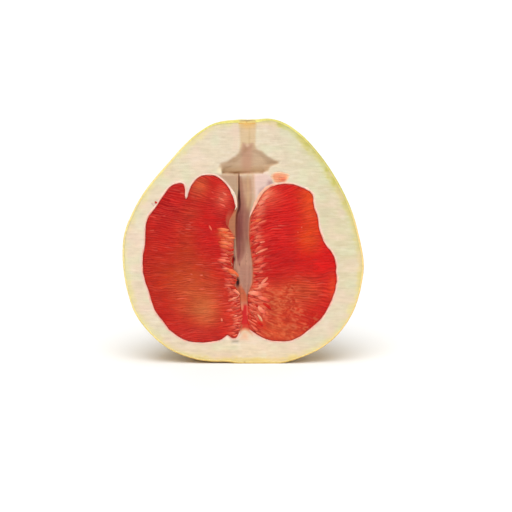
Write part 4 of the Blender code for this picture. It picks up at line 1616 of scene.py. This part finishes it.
@dataclass
class SacEnds:
    """Loose juice sacs along a lobe's inner edge, each a drop with a round end to the core."""

    name: str
    lobe: Lobe
    grain: Grain
    clusters: tuple[Cluster, ...]
    rings: int = 12
    sides: int = 8
    finish: PulpFinish = PulpFinish("sac_ends", 0.2, 0.45, 0.00003)

    def build(self) -> bpy.types.Object:
        """All clusters as one mesh of closed drops."""
        form = Form()
        for number, cluster in enumerate(self.clusters):
            self.add_cluster(form, cluster, number * 17 + (500 if self.lobe.side is Side.LEFT else 700))
        return form.piece(self.name, self.finish.material(), Slot.CUT_PULP)

    def add_cluster(self, form: Form, cluster: Cluster, seed: int) -> None:
        """Add a cluster's drops.

        A drop's middle line runs from its end near the core outwards along the grain. Its half
        width is a share of the width: t to the power 0.6 times the root of (1 less t to the
        power 6), t running from its thin tail, which dives into the pulp, to its round end.

        Args:
            form: the mesh to add to.
            cluster: what to add.
            seed: number of its random draws.
        """
        number = np.arange(cluster.count)

        def pick(salt: int, low: float, high: float) -> Array:
            """A repeatable number between two limits for each drop."""
            return low + (high - low) * chance(seed + salt, number)

        share = (number + pick(0, -0.2, 1.2)) / cluster.count
        z = cluster.low + (cluster.high - cluster.low) * share
        rise = (z - self.lobe.inner[0][1]) / (self.lobe.inner[-1][1] - self.lobe.inner[0][1])
        edge = self.lobe.edge(self.lobe.inner, rise, 1)[:, 0]
        length, width = pick(1, *cluster.length), pick(2, *cluster.width)
        aim = -np.arctan(self.grain.rise(z, 0 * z)) + np.radians(pick(3, -cluster.loose, cluster.loose))
        end = np.maximum(edge - pick(4, *cluster.poke), 0.3)
        t = np.linspace(0.02, 0.995, self.rings)[None]
        back = (1 - t) * length[:, None]
        curl = pick(5, -0.9, 0.9)[:, None] * np.sin(math.pi * t)
        radius = end[:, None] + back * np.cos(aim)[:, None] + curl * np.sin(aim)[:, None]
        height = z[:, None] - back * np.sin(aim)[:, None] + curl * np.cos(aim)[:, None]
        proud = (cluster.lift + pick(6, -0.15, 0.25))[:, None]
        middle_y = 0.5 - (proud + 0.5) * ease(t, -0.05, 0.6) + 0.7 * ease(t, 0.7, 1.0)
        half = width[:, None] / 2 * t**0.6 * np.sqrt(1 - t**6)
        turn = circle(self.sides)
        sideways = half[..., None] * np.cos(turn)
        forwards = 0.6 * half[..., None] * np.sin(turn)
        side = self.lobe.side.value
        x = side * (radius[..., None] + sideways * np.sin(aim)[:, None, None])
        points = np.stack([x, middle_y[..., None] - forwards,
                           height[..., None] + sideways * np.cos(aim)[:, None, None]], axis=-1)
        pale = ease(pick(7, 0, 1), 0.25, 0.9)[:, None, None]
        fade = ease(t, 0.05, 0.8)[..., None] * (0.2 + 0.8 * pale)
        # The end's colour reaches along the upper side: a painted highlight
        fade = fade * (0.3 + 0.7 * ease(np.cos(turn), -0.3, 0.9))
        colour = np.array(cluster.body) * (1 - fade[..., None]) + np.array(cluster.end) * fade[..., None]
        colour = colour * pick(8, 0.86, 1.1)[:, None, None, None]
        flow = np.stack([points[..., 0], points[..., 2], 0 * x + pick(9, 0, 50)[:, None, None]], -1)
        rings = form.add(points, colour, flow)
        tail = np.stack([side * (end + length * np.cos(aim)), middle_y[:, 0], z - length * np.sin(aim)], -1)
        nose = np.stack([side * (end - 0.1), middle_y[:, -1], z], axis=-1)
        for drop, ring in enumerate(rings):
            form.capsule(ring, tail[drop], nose[drop], colour[drop, (0, -1), 0],
                         flip=self.lobe.side is Side.LEFT)


class Hue(Enum):
    """Colours of a loose sac or shred, at its tail and at its end."""

    ROSE = (tone(206, 40, 32), tone(230, 88, 70))
    PINK = (tone(206, 40, 32), tone(238, 106, 88))
    SALMON = (tone(210, 46, 38), tone(248, 124, 98))
    PALE = (tone(232, 92, 72), tone(252, 148, 118))
    ORANGE = (tone(216, 76, 46), tone(242, 116, 74))
    AMBER = (tone(208, 58, 34), tone(247, 132, 86))
    RED = (tone(196, 34, 26), tone(212, 48, 38))
    BEIGE = (tone(232, 150, 116), tone(238, 172, 134))
    CREAM = (tone(238, 190, 170), tone(246, 206, 190))


@dataclass(frozen=True)
class Scrap:
    """A loose shred or sac.

    Attributes:
        hue: its colours.
        width: greatest width.
        lift: how proud of the cut it stands.
        points: start, middle and end of its middle line, as (x, z).
    """

    hue: Hue
    width: float
    lift: float
    points: Array


@dataclass
class Scraps:
    """Single sacs and shreds that stand out of the cut, each a closed tube."""

    name: str
    scraps: tuple[Scrap, ...]
    rings: int = 11
    sides: int = 8
    finish: PulpFinish = PulpFinish("scraps", 0.3, 0.4, 0.00003)

    def build(self) -> bpy.types.Object:
        """Each scrap is a tube along the parabola through its points, thick in its middle."""
        form = Form()
        t = np.linspace(0.03, 0.97, self.rings)
        turn = circle(self.sides)
        for scrap in self.scraps:
            start, bend, end = scrap.points
            first, second, third = (1 - t) * (1 - 2 * t), 4 * t * (1 - t), t * (2 * t - 1)
            middle = first[:, None] * start + second[:, None] * bend + third[:, None] * end
            step = np.gradient(middle, axis=0)
            step /= np.linalg.norm(step, axis=1)[:, None]
            half = scrap.width / 2 * (4 * t * (1 - t)) ** 0.6
            sideways, forwards = half[:, None] * np.cos(turn), 0.5 * half[:, None] * np.sin(turn)
            y = 0.4 - (scrap.lift + 0.4) * np.sin(math.pi * t) ** 0.7
            points = np.stack([middle[:, :1] - step[:, 1:] * sideways, y[:, None] - forwards,
                               middle[:, 1:] + step[:, :1] * sideways], axis=-1)
            # Lighter on the upper side: painted light from above
            light = 0.9 + 0.15 * ease(np.cos(turn), -0.5, 0.8)
            tail, tip = scrap.hue.value
            colour = np.broadcast_to(tail, (self.rings, self.sides, 3))
            colour = tint(colour, tip, ease(t, 0.0, 0.65)[:, None] * np.ones(self.sides))
            colour = colour * light[None, :, None]
            ring = form.add(points, colour, points)
            ends = np.array([(start[0], 0.45, start[1]), (end[0], 0.45, end[1])])
            form.capsule(ring, ends[0], ends[1], colour[(0, -1), 0])
        return form.piece(self.name, self.finish.material(), Slot.CUT_PULP)


@dataclass
class Membrane:
    """The thin pale wall round a lobe, seen on edge where the knife cut it.

    Attributes:
        stop: lowest z of the wall beside the core.
        broad: where the wall was cut aslant and looks wider, with its colour there.
    """

    name: str
    lobe: Lobe
    stop: float
    broad: tuple[Zone, ...]
    width: float = 1.0
    rise: float = 0.3
    count: int = 720
    finish: PlainFinish = PlainFinish("segment_wall", 0.42, 900.0, None, 0.35)
    pink: Colour = tone(244, 172, 152)
    cream: Colour = tone(250, 214, 196)

    def path(self) -> Array:
        """The lobe's border on the cut face, but for its edge beside the core."""
        grid = self.lobe.grid(np.linspace(0, 1, 300), np.linspace(0, 1, 300))
        inner = grid[::-1, 0]
        beside_core = inner[1:][inner[1:, 1] > self.stop]
        loop = np.concatenate([grid[0], grid[1:, -1], grid[-1, -2::-1], beside_core])
        length = np.concatenate([[0], np.cumsum(np.hypot(*np.diff(loop, axis=0).T))])
        wanted = np.linspace(0, length[-1], self.count)
        return np.stack([np.interp(wanted, length, loop[:, axis]) for axis in (0, 1)], axis=-1)

    def build(self) -> bpy.types.Object:
        """A low rounded ridge along the path, whose half ellipse stands on a sunk flat."""
        path = self.path()
        side = self.lobe.side.value
        step = np.gradient(path, axis=0)
        kernel = np.ones(9) / 9
        step = np.stack([np.convolve(np.pad(step[:, axis], 4, mode="edge"), kernel, "valid")
                         for axis in (0, 1)], axis=-1)
        step /= np.linalg.norm(step, axis=1)[:, None]
        outwards = np.stack([step[:, 1], -step[:, 0]], axis=-1)
        place = np.arange(self.count)
        wave = drift(61, place / 9.0) * 0.3 + drift(62, place / 30.0) * 0.25
        taper = np.clip(np.minimum(place, self.count - 1 - place) / 14, 0.05, 1.0) ** 0.5
        weights = [zone.weight(side * path[:, 0], path[:, 1]) for zone in self.broad]
        half = self.width / 2 * (1 + wave + sum(weights)) * taper
        turn = np.linspace(0, math.pi, 7)
        across = np.cos(turn)
        centre = path + outwards * (0.35 + 0.3 * sum(weights))[:, None]
        x = centre[:, :1] + outwards[:, :1] * half[:, None] * across
        z = centre[:, 1:] + outwards[:, 1:] * half[:, None] * across
        top = 0.12 - self.rise * (1 + wave[:, None]) * taper[:, None] * np.sin(turn)
        face = np.stack([side * x, top, z], axis=-1)
        sunk = face[:, (0, -1)] + np.array([0.0, 0.7, 0.0])
        share = (across + 1) / 2 + 0.25 * drift(63, place / 12.0)[:, None]
        colour = tint(np.broadcast_to(self.pink, face.shape), self.cream, ease(share, 0.15, 0.8))
        for zone, weight in zip(self.broad, weights):
            colour = tint(colour, zone.colour, np.clip(weight, 0, 0.8)[:, None] * np.ones(7))
        form = Form()
        upper = form.add(face, colour)
        lower = form.add(sunk, self.pink)
        grid = np.concatenate([lower[:, :1], upper, lower[:, 1:]], axis=1)
        flip = self.lobe.side is Side.LEFT
        form.tube(grid, flip=not flip)
        for row, turned_over in ((0, not flip), (-1, flip)):
            form.cap(grid[row], (side * path[row, 0], 0.4, path[row, 1]), self.pink, turned_over)
        return form.piece(self.name, self.finish.material(), Slot.PITH)


@dataclass
class SalmonOval:
    """The end of the first whole segment, cut as a small oval above the right lobe."""

    x: float = 22.0
    z: float = 117.1
    wide: float = 5.9
    high: float = 3.9
    rings: int = 26
    sides: int = 72
    deep: float = 0.6
    flesh: Colour = tone(238, 162, 122)
    hidden: Colour = tone(236, 150, 108)
    finish: PulpFinish = PulpFinish("oval_pulp", 0.3, 0.4)

    def build(self) -> bpy.types.Object:
        """A low cap: polar rows from the middle, with a few sacs and a pale rim."""
        share = np.linspace(0.04, 1.0, self.rings)[:, None]
        turn = circle(self.sides)[None]
        wobble = 1 + 0.05 * np.sin(3 * turn + 0.6) + 0.03 * np.sin(5 * turn)
        across, up = np.cos(turn), np.sin(turn)
        x = self.x + self.wide * share * np.sign(across) * np.abs(across) ** 0.85 * wobble
        z = self.z + self.high * share * np.sign(up) * np.abs(up) ** 0.85 * wobble
        sacs = divide(90, x / 5.0, (z + 0.12 * (x - self.x)) / 1.7)
        relief = 0.25 * sacs.dome()
        y = -(0.1 + relief) * (1 - share**4) + 0.1 * share**8
        colour = np.broadcast_to(self.flesh, (*x.shape, 3))
        heart = hump(x, self.x + 2.0, 2.6) * hump(z, self.z - 1.2, 1.4)
        colour = shaded(colour, (232, 112, 80, heart * 0.8)) * (0.93 + 0.14 * sacs.pick[..., None])
        colour = shaded(colour, (248, 206, 174, ease(share + 0 * x, 0.6, 0.92)))
        form = Form()
        front = form.add(np.stack([x, y, z], axis=-1), colour, np.stack([x, z, 0 * x], -1))
        back = form.add(np.stack([x[-1], 0 * x[-1] + self.deep, z[-1]], -1)[None], self.hidden)
        form.tube(np.concatenate([front, back]), flip=True)
        form.cap(front[0], (self.x, float(y[0].mean()), self.z), self.hidden, flip=True)
        form.cap(back[0], (self.x, self.deep, self.z), self.hidden)
        return form.piece("salmon_oval", self.finish.material(), Slot.WHOLE_PULP)


@dataclass
class StemScar:
    """The woody scar where the stalk stood, cut through its middle."""

    x: float = 1.65
    z: float = 151.6
    radius: float = 5.2
    rise: float = 0.55
    rings: int = 22
    sides: int = 90
    front: float = 0.02
    deep: float = 1.4
    wood: Colour = tone(172, 128, 66)
    finish: PlainFinish = PlainFinish("woody_scar", 0.7, 1300.0, None, 0.05)

    def build(self) -> bpy.types.Object:
        """A half dome with radial wrinkles and a raised ring, closed by its cut front."""
        share = np.linspace(0.06, 1.0, self.rings)[:, None]
        turn = np.linspace(0, math.pi, self.sides)[None]
        ring = hump(share, 0.72, 0.16)
        wrinkle = 0.08 * np.sin(23 * turn) * ring + 0.05 * drift(71, 9 * share + 0 * turn, 12 * turn)
        z = self.z + self.rise * (0.55 * (1 - share**6) + 0.4 * ring * (share < 1)) + wrinkle * (share < 1)
        z = z - 0.5 * hump(share, 0.0, 0.3) - 0.6 * (share > 0.98)
        x = self.x + self.radius * share * np.cos(turn)
        y = self.radius * share * np.sin(turn) + self.front
        foot, crown = self.z - self.deep, float(z[0].mean())
        colour = shaded(
            np.broadcast_to(self.wood, (*x.shape, 3)),
            (132, 92, 50, hump(share, 0.5, 0.16) * (0.7 + 0.3 * np.sin(17 * turn))),
            (184, 144, 66, ease(share + 0 * turn, 0.8, 1.0)),
        )
        form = Form()
        top = form.add(np.stack([x, y, z], axis=-1), colour)
        low = form.add(np.stack([x, y, 0 * z + foot], axis=-1)[-1:], tone(233, 190, 110))
        form.patch(np.concatenate([top, low]), flip=True)
        middle = form.add(np.array([[self.x, self.front, crown], [self.x, self.front, foot]]),
                          tone(233, 188, 106))
        form.fan(int(middle[0]), top[0], flip=True)
        form.fan(int(middle[1]), low[0])
        line = [(self.x - self.radius, foot), *zip(x[::-1, -1], z[::-1, -1]), (self.x, crown),
                *zip(x[:, 0], z[:, 0]), (self.x + self.radius, foot)]
        front = form.add(np.insert(np.array(line), 1, self.front, axis=1), tone(226, 178, 100))
        tip = form.add(np.array([[self.x, self.front, foot]]), tone(238, 190, 112))
        form.fan(int(tip[0]), front)
        return form.piece("stem_scar", self.finish.material(), Slot.RIND)


@dataclass
class Studio:
    """White floor, white surroundings, soft lights and the camera."""

    aim: tuple[float, float, float] = (7.2, 0.0, 68.1)
    distance: float = 1400.0
    rise: float = 9.0
    lens: float = 158.6
    horizon: float = 0.74
    zenith: float = 0.32
    sky: tuple[float, float] = (0.08, 0.45)
    floor_size: float = 90.0

    def floor(self) -> None:
        """A wide white floor with a faint gloss."""
        size = self.floor_size
        mesh = bpy.data.meshes.new("floor")
        corners = [(-size, -size, 0), (size, -size, 0), (size, size, 0), (-size, size, 0)]
        mesh.from_pydata(corners, [], [(0, 1, 2, 3)])
        finish = Finish("white_floor", 0.55, 1.3)
        grain = finish.span(finish.noise(finish.place(3.0)), 0.775, 0.795)
        colour = finish.node("ShaderNodeCombineColor")
        for name in ("Red", "Green", "Blue"):
            finish.link(grain, colour.inputs[name])
        finish.link(colour.outputs["Color"], finish.shader.inputs["Base Color"])
        mesh.materials.append(finish.material)
        item = bpy.data.objects.new("floor", mesh)
        bpy.context.collection.objects.link(item)

    def lamp(self, name: str, away: tuple[float, float, float], spread: float, strength: float,
             colour: Colour = (1.0, 1.0, 1.0)) -> None:
        """A wide soft light from far away.

        Args:
            name: its name.
            away: direction from the fruit to it.
            spread: how wide it looks from the fruit, in degrees.
            strength: power on each square metre that faces it.
            colour: its colour.
        """
        data = bpy.data.lights.new(name, "SUN")
        data.angle, data.energy, data.color = math.radians(spread), strength, colour
        item = bpy.data.objects.new(name, data)
        item.location = Vector(away).normalized()
        item.rotation_mode = "QUATERNION"
        item.rotation_quaternion = Vector(away).to_track_quat("Z", "Y")
        bpy.context.collection.objects.link(item)

    def surroundings(self) -> None:
        """White round the horizon, and dimmer overhead."""
        world = bpy.data.worlds.new("white")
        world.use_nodes = True
        tree = world.node_tree
        back = tree.nodes["Background"]
        back.inputs["Color"].default_value = (1.0, 1.0, 1.0, 1.0)
        place = tree.nodes.new("ShaderNodeTexCoord")
        parts = tree.nodes.new("ShaderNodeSeparateXYZ")
        fade = tree.nodes.new("ShaderNodeMapRange")
        fade.interpolation_type = "SMOOTHSTEP"
        for key, value in zip(("From Min", "From Max", "To Min", "To Max"),
                              (*self.sky, self.horizon, self.zenith)):
            fade.inputs[key].default_value = value
        tree.links.new(place.outputs["Generated"], parts.inputs["Vector"])
        tree.links.new(parts.outputs["Z"], fade.inputs["Value"])
        tree.links.new(fade.outputs["Result"], back.inputs["Strength"])
        bpy.context.scene.world = world

    def build(self) -> None:
        """Set the whole stage."""
        scene = bpy.context.scene
        scene.view_settings.view_transform = "Standard"
        self.surroundings()
        self.floor()
        self.lamp("key", (-0.12, -0.8, 0.9), 50, 1.79)
        self.lamp("overhead", (0.0, -0.25, 1.0), 60, 1.79)
        self.lamp("fill", (0.6, -0.8, 0.5), 45, 0.32)
        self.lamp("behind", (0.1, 0.9, 0.7), 70, 0.42)
        data = bpy.data.cameras.new("camera")
        data.lens, data.sensor_width = self.lens, 36.0
        data.clip_start, data.clip_end = 0.01, 50.0
        camera = bpy.data.objects.new("camera", data)
        lift = math.radians(self.rise)
        away = Vector((0.0, -math.cos(lift), math.sin(lift)))
        camera.location = Vector(in_frame(np.array(self.aim))) + away * self.distance * MM
        camera.rotation_mode = "QUATERNION"
        camera.rotation_quaternion = (-away).to_track_quat("-Z", "Y")
        bpy.context.collection.objects.link(camera)
        scene.camera = camera


LEFT_GRAIN = Grain(
    tilt=((12, -0.12), (35, -0.04), (55, 0.0), (80, 0.04), (98, 0.14), (118, 0.3)),
    fringe=((16, -0.05), (30, -0.1), (38, -0.25), (43, -0.1), (48, 0.4), (58, 0.3), (68, 0.05), (78, 0.0),
            (88, 0.35), (98, 0.4), (110, 0.2)),
    length=6.5,
    mottle=(Zone(-22, 19, 12, 4, strength=0.5), Zone(-50, 97, 8, 8, strength=0.35)),
    width=1.25,
)
RIGHT_GRAIN = Grain(
    tilt=((12, -0.3), (30, -0.2), (45, -0.02), (60, 0.1), (78, 0.12), (96, 0.2), (112, 0.4)),
    fringe=((16, -0.7), (32, -0.8), (42, -0.45), (50, 0.0), (58, 0.2), (75, 0.34), (100, 0.4), (112, 0.2)),
    mottle=(Zone(21, 40, 17, 12, strength=0.9), Zone(30, 25, 22, 10, strength=0.95)),
    length=7.0,
    width=1.6,
    reach=8.0,
)


def left_pulp() -> CutPulp:
    """The left segment: brick red, crimson beside the core, brown orange low down."""
    zones = soft_zones(
        (-57, 60, 8, 34, 186, 44, 26, 0.95),
        (-46, 97, 9, 9, 184, 18, 26, 0.85),
        (-44, 109, 7, 5, 188, 24, 32, 0.8),
        (-28, 111, 6, 7, 212, 92, 58, 0.85),
        (-15, 108, 6, 9, 206, 42, 32, 0.6),
        (-33, 95, 6, 4, 200, 72, 48, 0.55),
        (-35, 74, 9, 18, 190, 58, 36, 0.8),
        (-23, 79, 7, 15, 200, 4, 28, 1.0),
        (-17, 62, 6, 12, 198, 14, 32, 0.9),
        (-42, 56, 15, 13, 190, 66, 38, 0.75),
        (-30, 43, 14, 16, 198, 88, 50, 0.95),
        (-24, 33, 8, 9, 210, 114, 66, 0.7),
        (-36, 19, 22, 5, 198, 54, 46, 0.85),
        (-8, 28, 6, 12, 216, 62, 46, 0.8),
        (-10, 96, 4, 7, 196, 22, 32, 0.6),
        (-10, 78, 4, 6, 218, 76, 46, 0.8),
        (-8, 58, 4, 7, 218, 70, 54, 0.6),
        (-13.5, 105, 4.5, 7, 226, 96, 74, 0.75),
        (-11.5, 82.0, 4.4, 2.6, 230, 102, 62, 0.85),
        (-7.5, 77.7, 3.0, 0.9, 184, 50, 28, 0.9),
        (-11.8, 88.4, 1.6, 2.6, 172, 24, 22, 0.8),
    )
    return CutPulp("pulp_left", LEFT_LOBE, LEFT_GRAIN, tone(192, 36, 32), zones, swell=0.16, lines=0.95,
                   fringe_top=84.0, lined=(Zone(-48, 102, 12, 14, strength=0.8),), edging=0.85,
                   edge=tone(204, 108, 80))


def right_pulp() -> CutPulp:
    """The right segment: strong red, orange on the right, mottled low down."""
    zones = soft_zones(
        (41, 99, 8, 16, 226, 86, 42, 0.9),
        (28, 88, 9, 18, 211, 6, 12, 0.95),
        (20, 64, 11, 11, 192, 6, 28, 1.0),
        (49, 64, 9, 11, 218, 32, 22, 0.9),
        (40, 79, 7, 8, 222, 74, 34, 0.9),
        (37, 46, 12, 9, 200, 72, 44, 0.9),
        (55, 48, 3, 8, 224, 70, 40, 0.8),
        (21, 38, 14, 11, 204, 86, 54, 0.95),
        (24, 21, 18, 8, 206, 90, 56, 0.95),
        (44, 27, 7, 7, 198, 42, 34, 0.8),
        (15, 105, 7, 6, 232, 96, 70, 0.6),
        (9.6, 101.0, 3.0, 6, 246, 140, 108, 0.85),
        (13, 107.8, 4.2, 3.0, 244, 134, 100, 0.85),
        (6.5, 80, 3.2, 24, 226, 82, 64, 0.75),
        (9, 47, 5, 5.0, 232, 100, 72, 0.65),
        (7, 25, 5, 5, 214, 50, 38, 0.85),
        (11, 34, 4, 5, 230, 112, 86, 0.75),
    )
    return CutPulp("pulp_right", RIGHT_LOBE, RIGHT_GRAIN, tone(202, 26, 24), zones, lines=0.45, edging=0.8,
                   lined=(Zone(41, 46, 12, 8, strength=1.1), Zone(18, 88, 9, 18, strength=0.9)))


def left_ends() -> SacEnds:
    """Sac ends of the left lobe, all but the large ones."""
    red, salmon = tone(202, 44, 36), tone(248, 120, 94)
    return SacEnds("sac_ends_left", LEFT_LOBE, LEFT_GRAIN, (
        Cluster(22, 36, 10, (6, 11), (1.4, 2.4), red, salmon, (-0.8, 0.3)),
        Cluster(35, 50, 10, (7, 12), (1.4, 2.6), red, salmon, (-0.8, 0.4)),
        Cluster(49, 60, 6, (7, 12), (1.6, 2.8), tone(210, 60, 46), salmon, (-0.6, 0.8)),
        Cluster(59, 72, 8, (7, 12), (1.6, 2.8), red, tone(240, 104, 80), (-1.0, 0.3)),
        Cluster(71, 83, 7, (8, 13), (1.4, 2.4), tone(218, 78, 48), tone(240, 116, 76), (-1.4, -0.4)),
    ))


def right_ends() -> SacEnds:
    """Sac ends of the right lobe, all but the large ones."""
    red, salmon = tone(208, 42, 36), tone(250, 122, 98)
    return SacEnds("sac_ends_right", RIGHT_LOBE, RIGHT_GRAIN, (
        Cluster(28, 36, 6, (6, 10), (1.4, 2.4), red, tone(234, 92, 70), (-0.8, 0.1)),
        Cluster(33, 43, 6, (8, 14), (1.8, 3.0), tone(220, 78, 58), salmon, (-0.8, 0.2), 0.35),
        Cluster(42, 50, 6, (8, 14), (1.8, 3.0), tone(222, 84, 62), tone(246, 128, 98), (-0.8, 0.4), 0.4),
        Cluster(49, 66, 8, (7, 12), (1.4, 2.6), red, tone(234, 90, 74), (-1.2, 0.0), 0.3),
        Cluster(65, 84, 10, (7, 13), (1.4, 2.5), red, tone(234, 90, 74), (-1.2, 0.0), 0.3),
        Cluster(83, 100, 9, (8, 14), (1.5, 2.6), tone(220, 68, 54), salmon, (-1.4, -0.2), 0.25),
    ))


def membranes() -> tuple[Membrane, Membrane]:
    """The walls round the two lobes, each with the stretch that was cut aslant."""
    left, right = soft_zones((-6.4, 105, 5, 7, 248, 222, 200, 0.9), (12, 105, 13, 9, 248, 182, 148, 1.2))
    return (Membrane("membrane_left", LEFT_LOBE, 97.0, (left,)),
            Membrane("membrane_right", RIGHT_LOBE, 92.0, (right,)))


def scraps() -> Scraps:
    """Large sacs that stand out of the cut, and shreds beside and below the core."""
    # Rows of hue, width, lift and the x and z of the start, middle and end
    rows = (
        # The orange sacs of the left lobe
        (Hue.AMBER, 2.3, 0.3, -18.0, 85.2, -13.6, 84.6, -9.4, 84.3),
        (Hue.ORANGE, 2.2, 0.25, -17.6, 82.9, -12.6, 82.5, -7.6, 82.1),
        (Hue.AMBER, 1.7, 0.5, -15.6, 81.6, -11.6, 80.9, -7.2, 80.6),
        (Hue.AMBER, 1.7, 0.4, -14.0, 79.2, -9.8, 79.5, -5.4, 79.2),
        (Hue.ORANGE, 1.6, 0.25, -16.6, 78.6, -12.6, 78.2, -9.0, 77.9),
        (Hue.AMBER, 2.3, 0.4, -17.4, 76.9, -12.4, 76.4, -7.3, 75.6),
        (Hue.ORANGE, 2.2, 0.3, -16.8, 74.8, -12.0, 74.0, -7.6, 73.3),
        (Hue.ROSE, 1.8, 0.3, -16.4, 72.4, -12.0, 71.6, -7.9, 71.0),
        (Hue.PINK, 1.8, 0.3, -16.0, 69.6, -12.4, 69.0, -8.2, 68.2),
        (Hue.SALMON, 2.8, 0.35, -18.0, 65.4, -13.4, 65.2, -8.8, 64.6),
        (Hue.PINK, 1.6, 0.4, -15.0, 62.0, -12.0, 61.4, -9.0, 60.2),
        (Hue.ORANGE, 3.0, 0.5, -12.4, 60.0, -7.8, 58.2, -3.4, 55.0),
        (Hue.PALE, 1.4, 0.7, -10.0, 57.4, -6.8, 56.6, -4.2, 55.2),
        (Hue.ROSE, 1.6, 0.35, -14.0, 53.8, -11.0, 53.2, -8.0, 52.4),
        (Hue.PINK, 1.6, 0.35, -13.0, 49.2, -9.8, 48.4, -7.0, 47.0),
        (Hue.PALE, 1.7, 0.45, -8.4, 48.0, -5.4, 46.0, -2.8, 43.6),
        (Hue.PALE, 1.6, 0.4, -11.4, 39.4, -7.0, 41.2, -3.2, 43.4),
        (Hue.PINK, 1.4, 0.4, -10.0, 37.2, -6.6, 38.6, -3.2, 40.0),
        (Hue.PINK, 1.5, 0.35, -13.0, 33.4, -9.0, 34.0, -4.4, 34.2),
        (Hue.PALE, 1.7, 0.35, -9.4, 30.6, -5.6, 30.6, -1.9, 30.9),
        (Hue.SALMON, 1.5, 0.35, -8.6, 28.2, -5.0, 28.0, -1.5, 28.3),
        (Hue.PINK, 1.4, 0.3, -8.6, 25.0, -6.0, 24.6, -3.0, 24.4),
        # Curved streaks at the upper right of the left lobe
        (Hue.SALMON, 1.4, 0.1, -19.5, 105.4, -14.6, 103.9, -10.4, 101.0),
        (Hue.SALMON, 1.3, 0.1, -16.4, 109.2, -12.4, 107.2, -9.2, 103.8),
        (Hue.ROSE, 1.2, 0.05, -25.0, 104.8, -20.4, 104.4, -16.0, 102.8),
        (Hue.PINK, 1.3, 0.1, -18.0, 100.8, -13.6, 100.0, -9.6, 98.0),
        (Hue.ROSE, 1.1, 0.05, -23.0, 108.4, -19.6, 107.8, -16.4, 106.4),
        # Streaks of the right lobe that rise from the core
        (Hue.PALE, 2.0, 0.45, 17.0, 106.4, 13.2, 104.8, 10.2, 102.4),
        (Hue.PALE, 2.3, 0.45, 14.2, 103.6, 10.4, 101.6, 7.4, 98.4),
        (Hue.SALMON, 1.8, 0.45, 14.0, 99.8, 10.2, 98.2, 6.4, 95.4),
        (Hue.SALMON, 1.7, 0.5, 12.6, 96.2, 9.2, 94.6, 5.8, 92.0),
        (Hue.ORANGE, 2.0, 0.4, 12.4, 91.6, 8.2, 90.4, 4.2, 88.4),
        (Hue.SALMON, 1.8, 0.45, 11.4, 87.0, 7.2, 86.0, 3.4, 84.2),
        (Hue.SALMON, 1.5, 0.5, 12.0, 82.0, 8.4, 80.6, 5.2, 78.0),
        (Hue.PALE, 0.9, 0.6, 14.0, 77.4, 10.4, 76.8, 6.6, 75.4),
        (Hue.PALE, 1.2, 0.65, 15.6, 73.0, 11.0, 71.6, 6.2, 68.8),
        (Hue.PINK, 2.0, 0.4, 14.0, 67.0, 9.8, 66.2, 5.6, 64.8),
        (Hue.PINK, 1.8, 0.5, 14.6, 63.0, 11.2, 62.0, 7.4, 60.2),
        (Hue.SALMON, 1.6, 0.4, 13.2, 58.8, 9.8, 57.8, 6.2, 56.6),
        (Hue.PALE, 1.6, 0.5, 15.6, 56.0, 12.6, 52.8, 9.4, 50.0),
        (Hue.PALE, 2.8, 0.45, 16.2, 51.2, 10.2, 49.2, 4.2, 46.6),
        (Hue.PALE, 3.2, 0.45, 12.0, 43.2, 7.0, 44.6, 1.9, 44.6),
        (Hue.SALMON, 2.4, 0.4, 17.0, 39.0, 12.0, 41.2, 6.6, 42.8),
        (Hue.RED, 2.0, 0.2, 10.4, 34.6, 7.0, 37.6, 4.0, 41.6),
        (Hue.PALE, 2.4, 0.35, 13.4, 31.6, 10.4, 34.2, 7.4, 37.8),
        (Hue.RED, 2.1, 0.3, 17.6, 33.4, 14.2, 36.6, 10.4, 39.4),
        (Hue.RED, 2.0, 0.3, 12.6, 22.8, 9.4, 25.6, 6.4, 28.6),
        (Hue.SALMON, 2.2, 0.3, 10.4, 26.8, 7.0, 30.6, 4.0, 35.2),
        (Hue.BEIGE, 1.4, 0.5, 6.4, 31.8, 9.6, 29.4, 11.2, 25.4),
        # Small shreds
        (Hue.SALMON, 1.0, 0.35, -22.1, 89.0, -21.2, 86.0, -19.4, 83.4),
        (Hue.SALMON, 0.7, 0.2, -35.0, 56.6, -33.2, 56.8, -31.2, 56.4),
        (Hue.SALMON, 0.7, 0.2, -29.4, 55.8, -26.8, 56.0, -24.6, 56.4),
        (Hue.PALE, 1.0, 0.4, -14.8, 29.4, -14.2, 28.0, -14.0, 26.2),
        (Hue.RED, 1.3, 0.25, -55.4, 102.4, -54.6, 101.6, -53.6, 101.2),
        (Hue.CREAM, 1.1, 0.2, -57.4, 101.8, -56.6, 100.6, -55.4, 99.6),
        (Hue.SALMON, 0.8, 0.3, 32.6, 83.2, 33.2, 83.0, 33.8, 83.1),
        (Hue.SALMON, 0.8, 0.3, 34.8, 86.4, 35.5, 86.2, 36.4, 86.4),
    )
    return Scraps("scraps", tuple(Scrap(hue, width, lift, np.reshape(line, (3, 2)))
                                  for hue, width, lift, *line in rows))


def dress_whole_segments() -> None:
    """Give the whole segments behind the cut their own membrane finish."""
    finish = PlainFinish("whole_segment_wall", 0.45, 700.0, tone(226, 130, 104), 0.3).material()
    for name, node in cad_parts.items():
        if name.startswith("whole_segment"):
            for slot in node.material_slots:
                slot.material = finish


def main() -> None:
    """Build every piece in order and report it."""
    logging.basicConfig(level=logging.INFO, format="%(name)s %(message)s")
    fruit = Fruit()
    for builder in (Skin(fruit), Pith(fruit), left_pulp(), right_pulp(), left_ends(), right_ends(),
                    *membranes(), scraps(), SalmonOval(), StemScar()):
        item = builder.build()
        mesh = item.data
        log.info("%s: %d points, %d faces", item.name, len(mesh.vertices), len(mesh.polygons))
    dress_whole_segments()
    Studio().build()


if __name__ == "__main__":
    main()
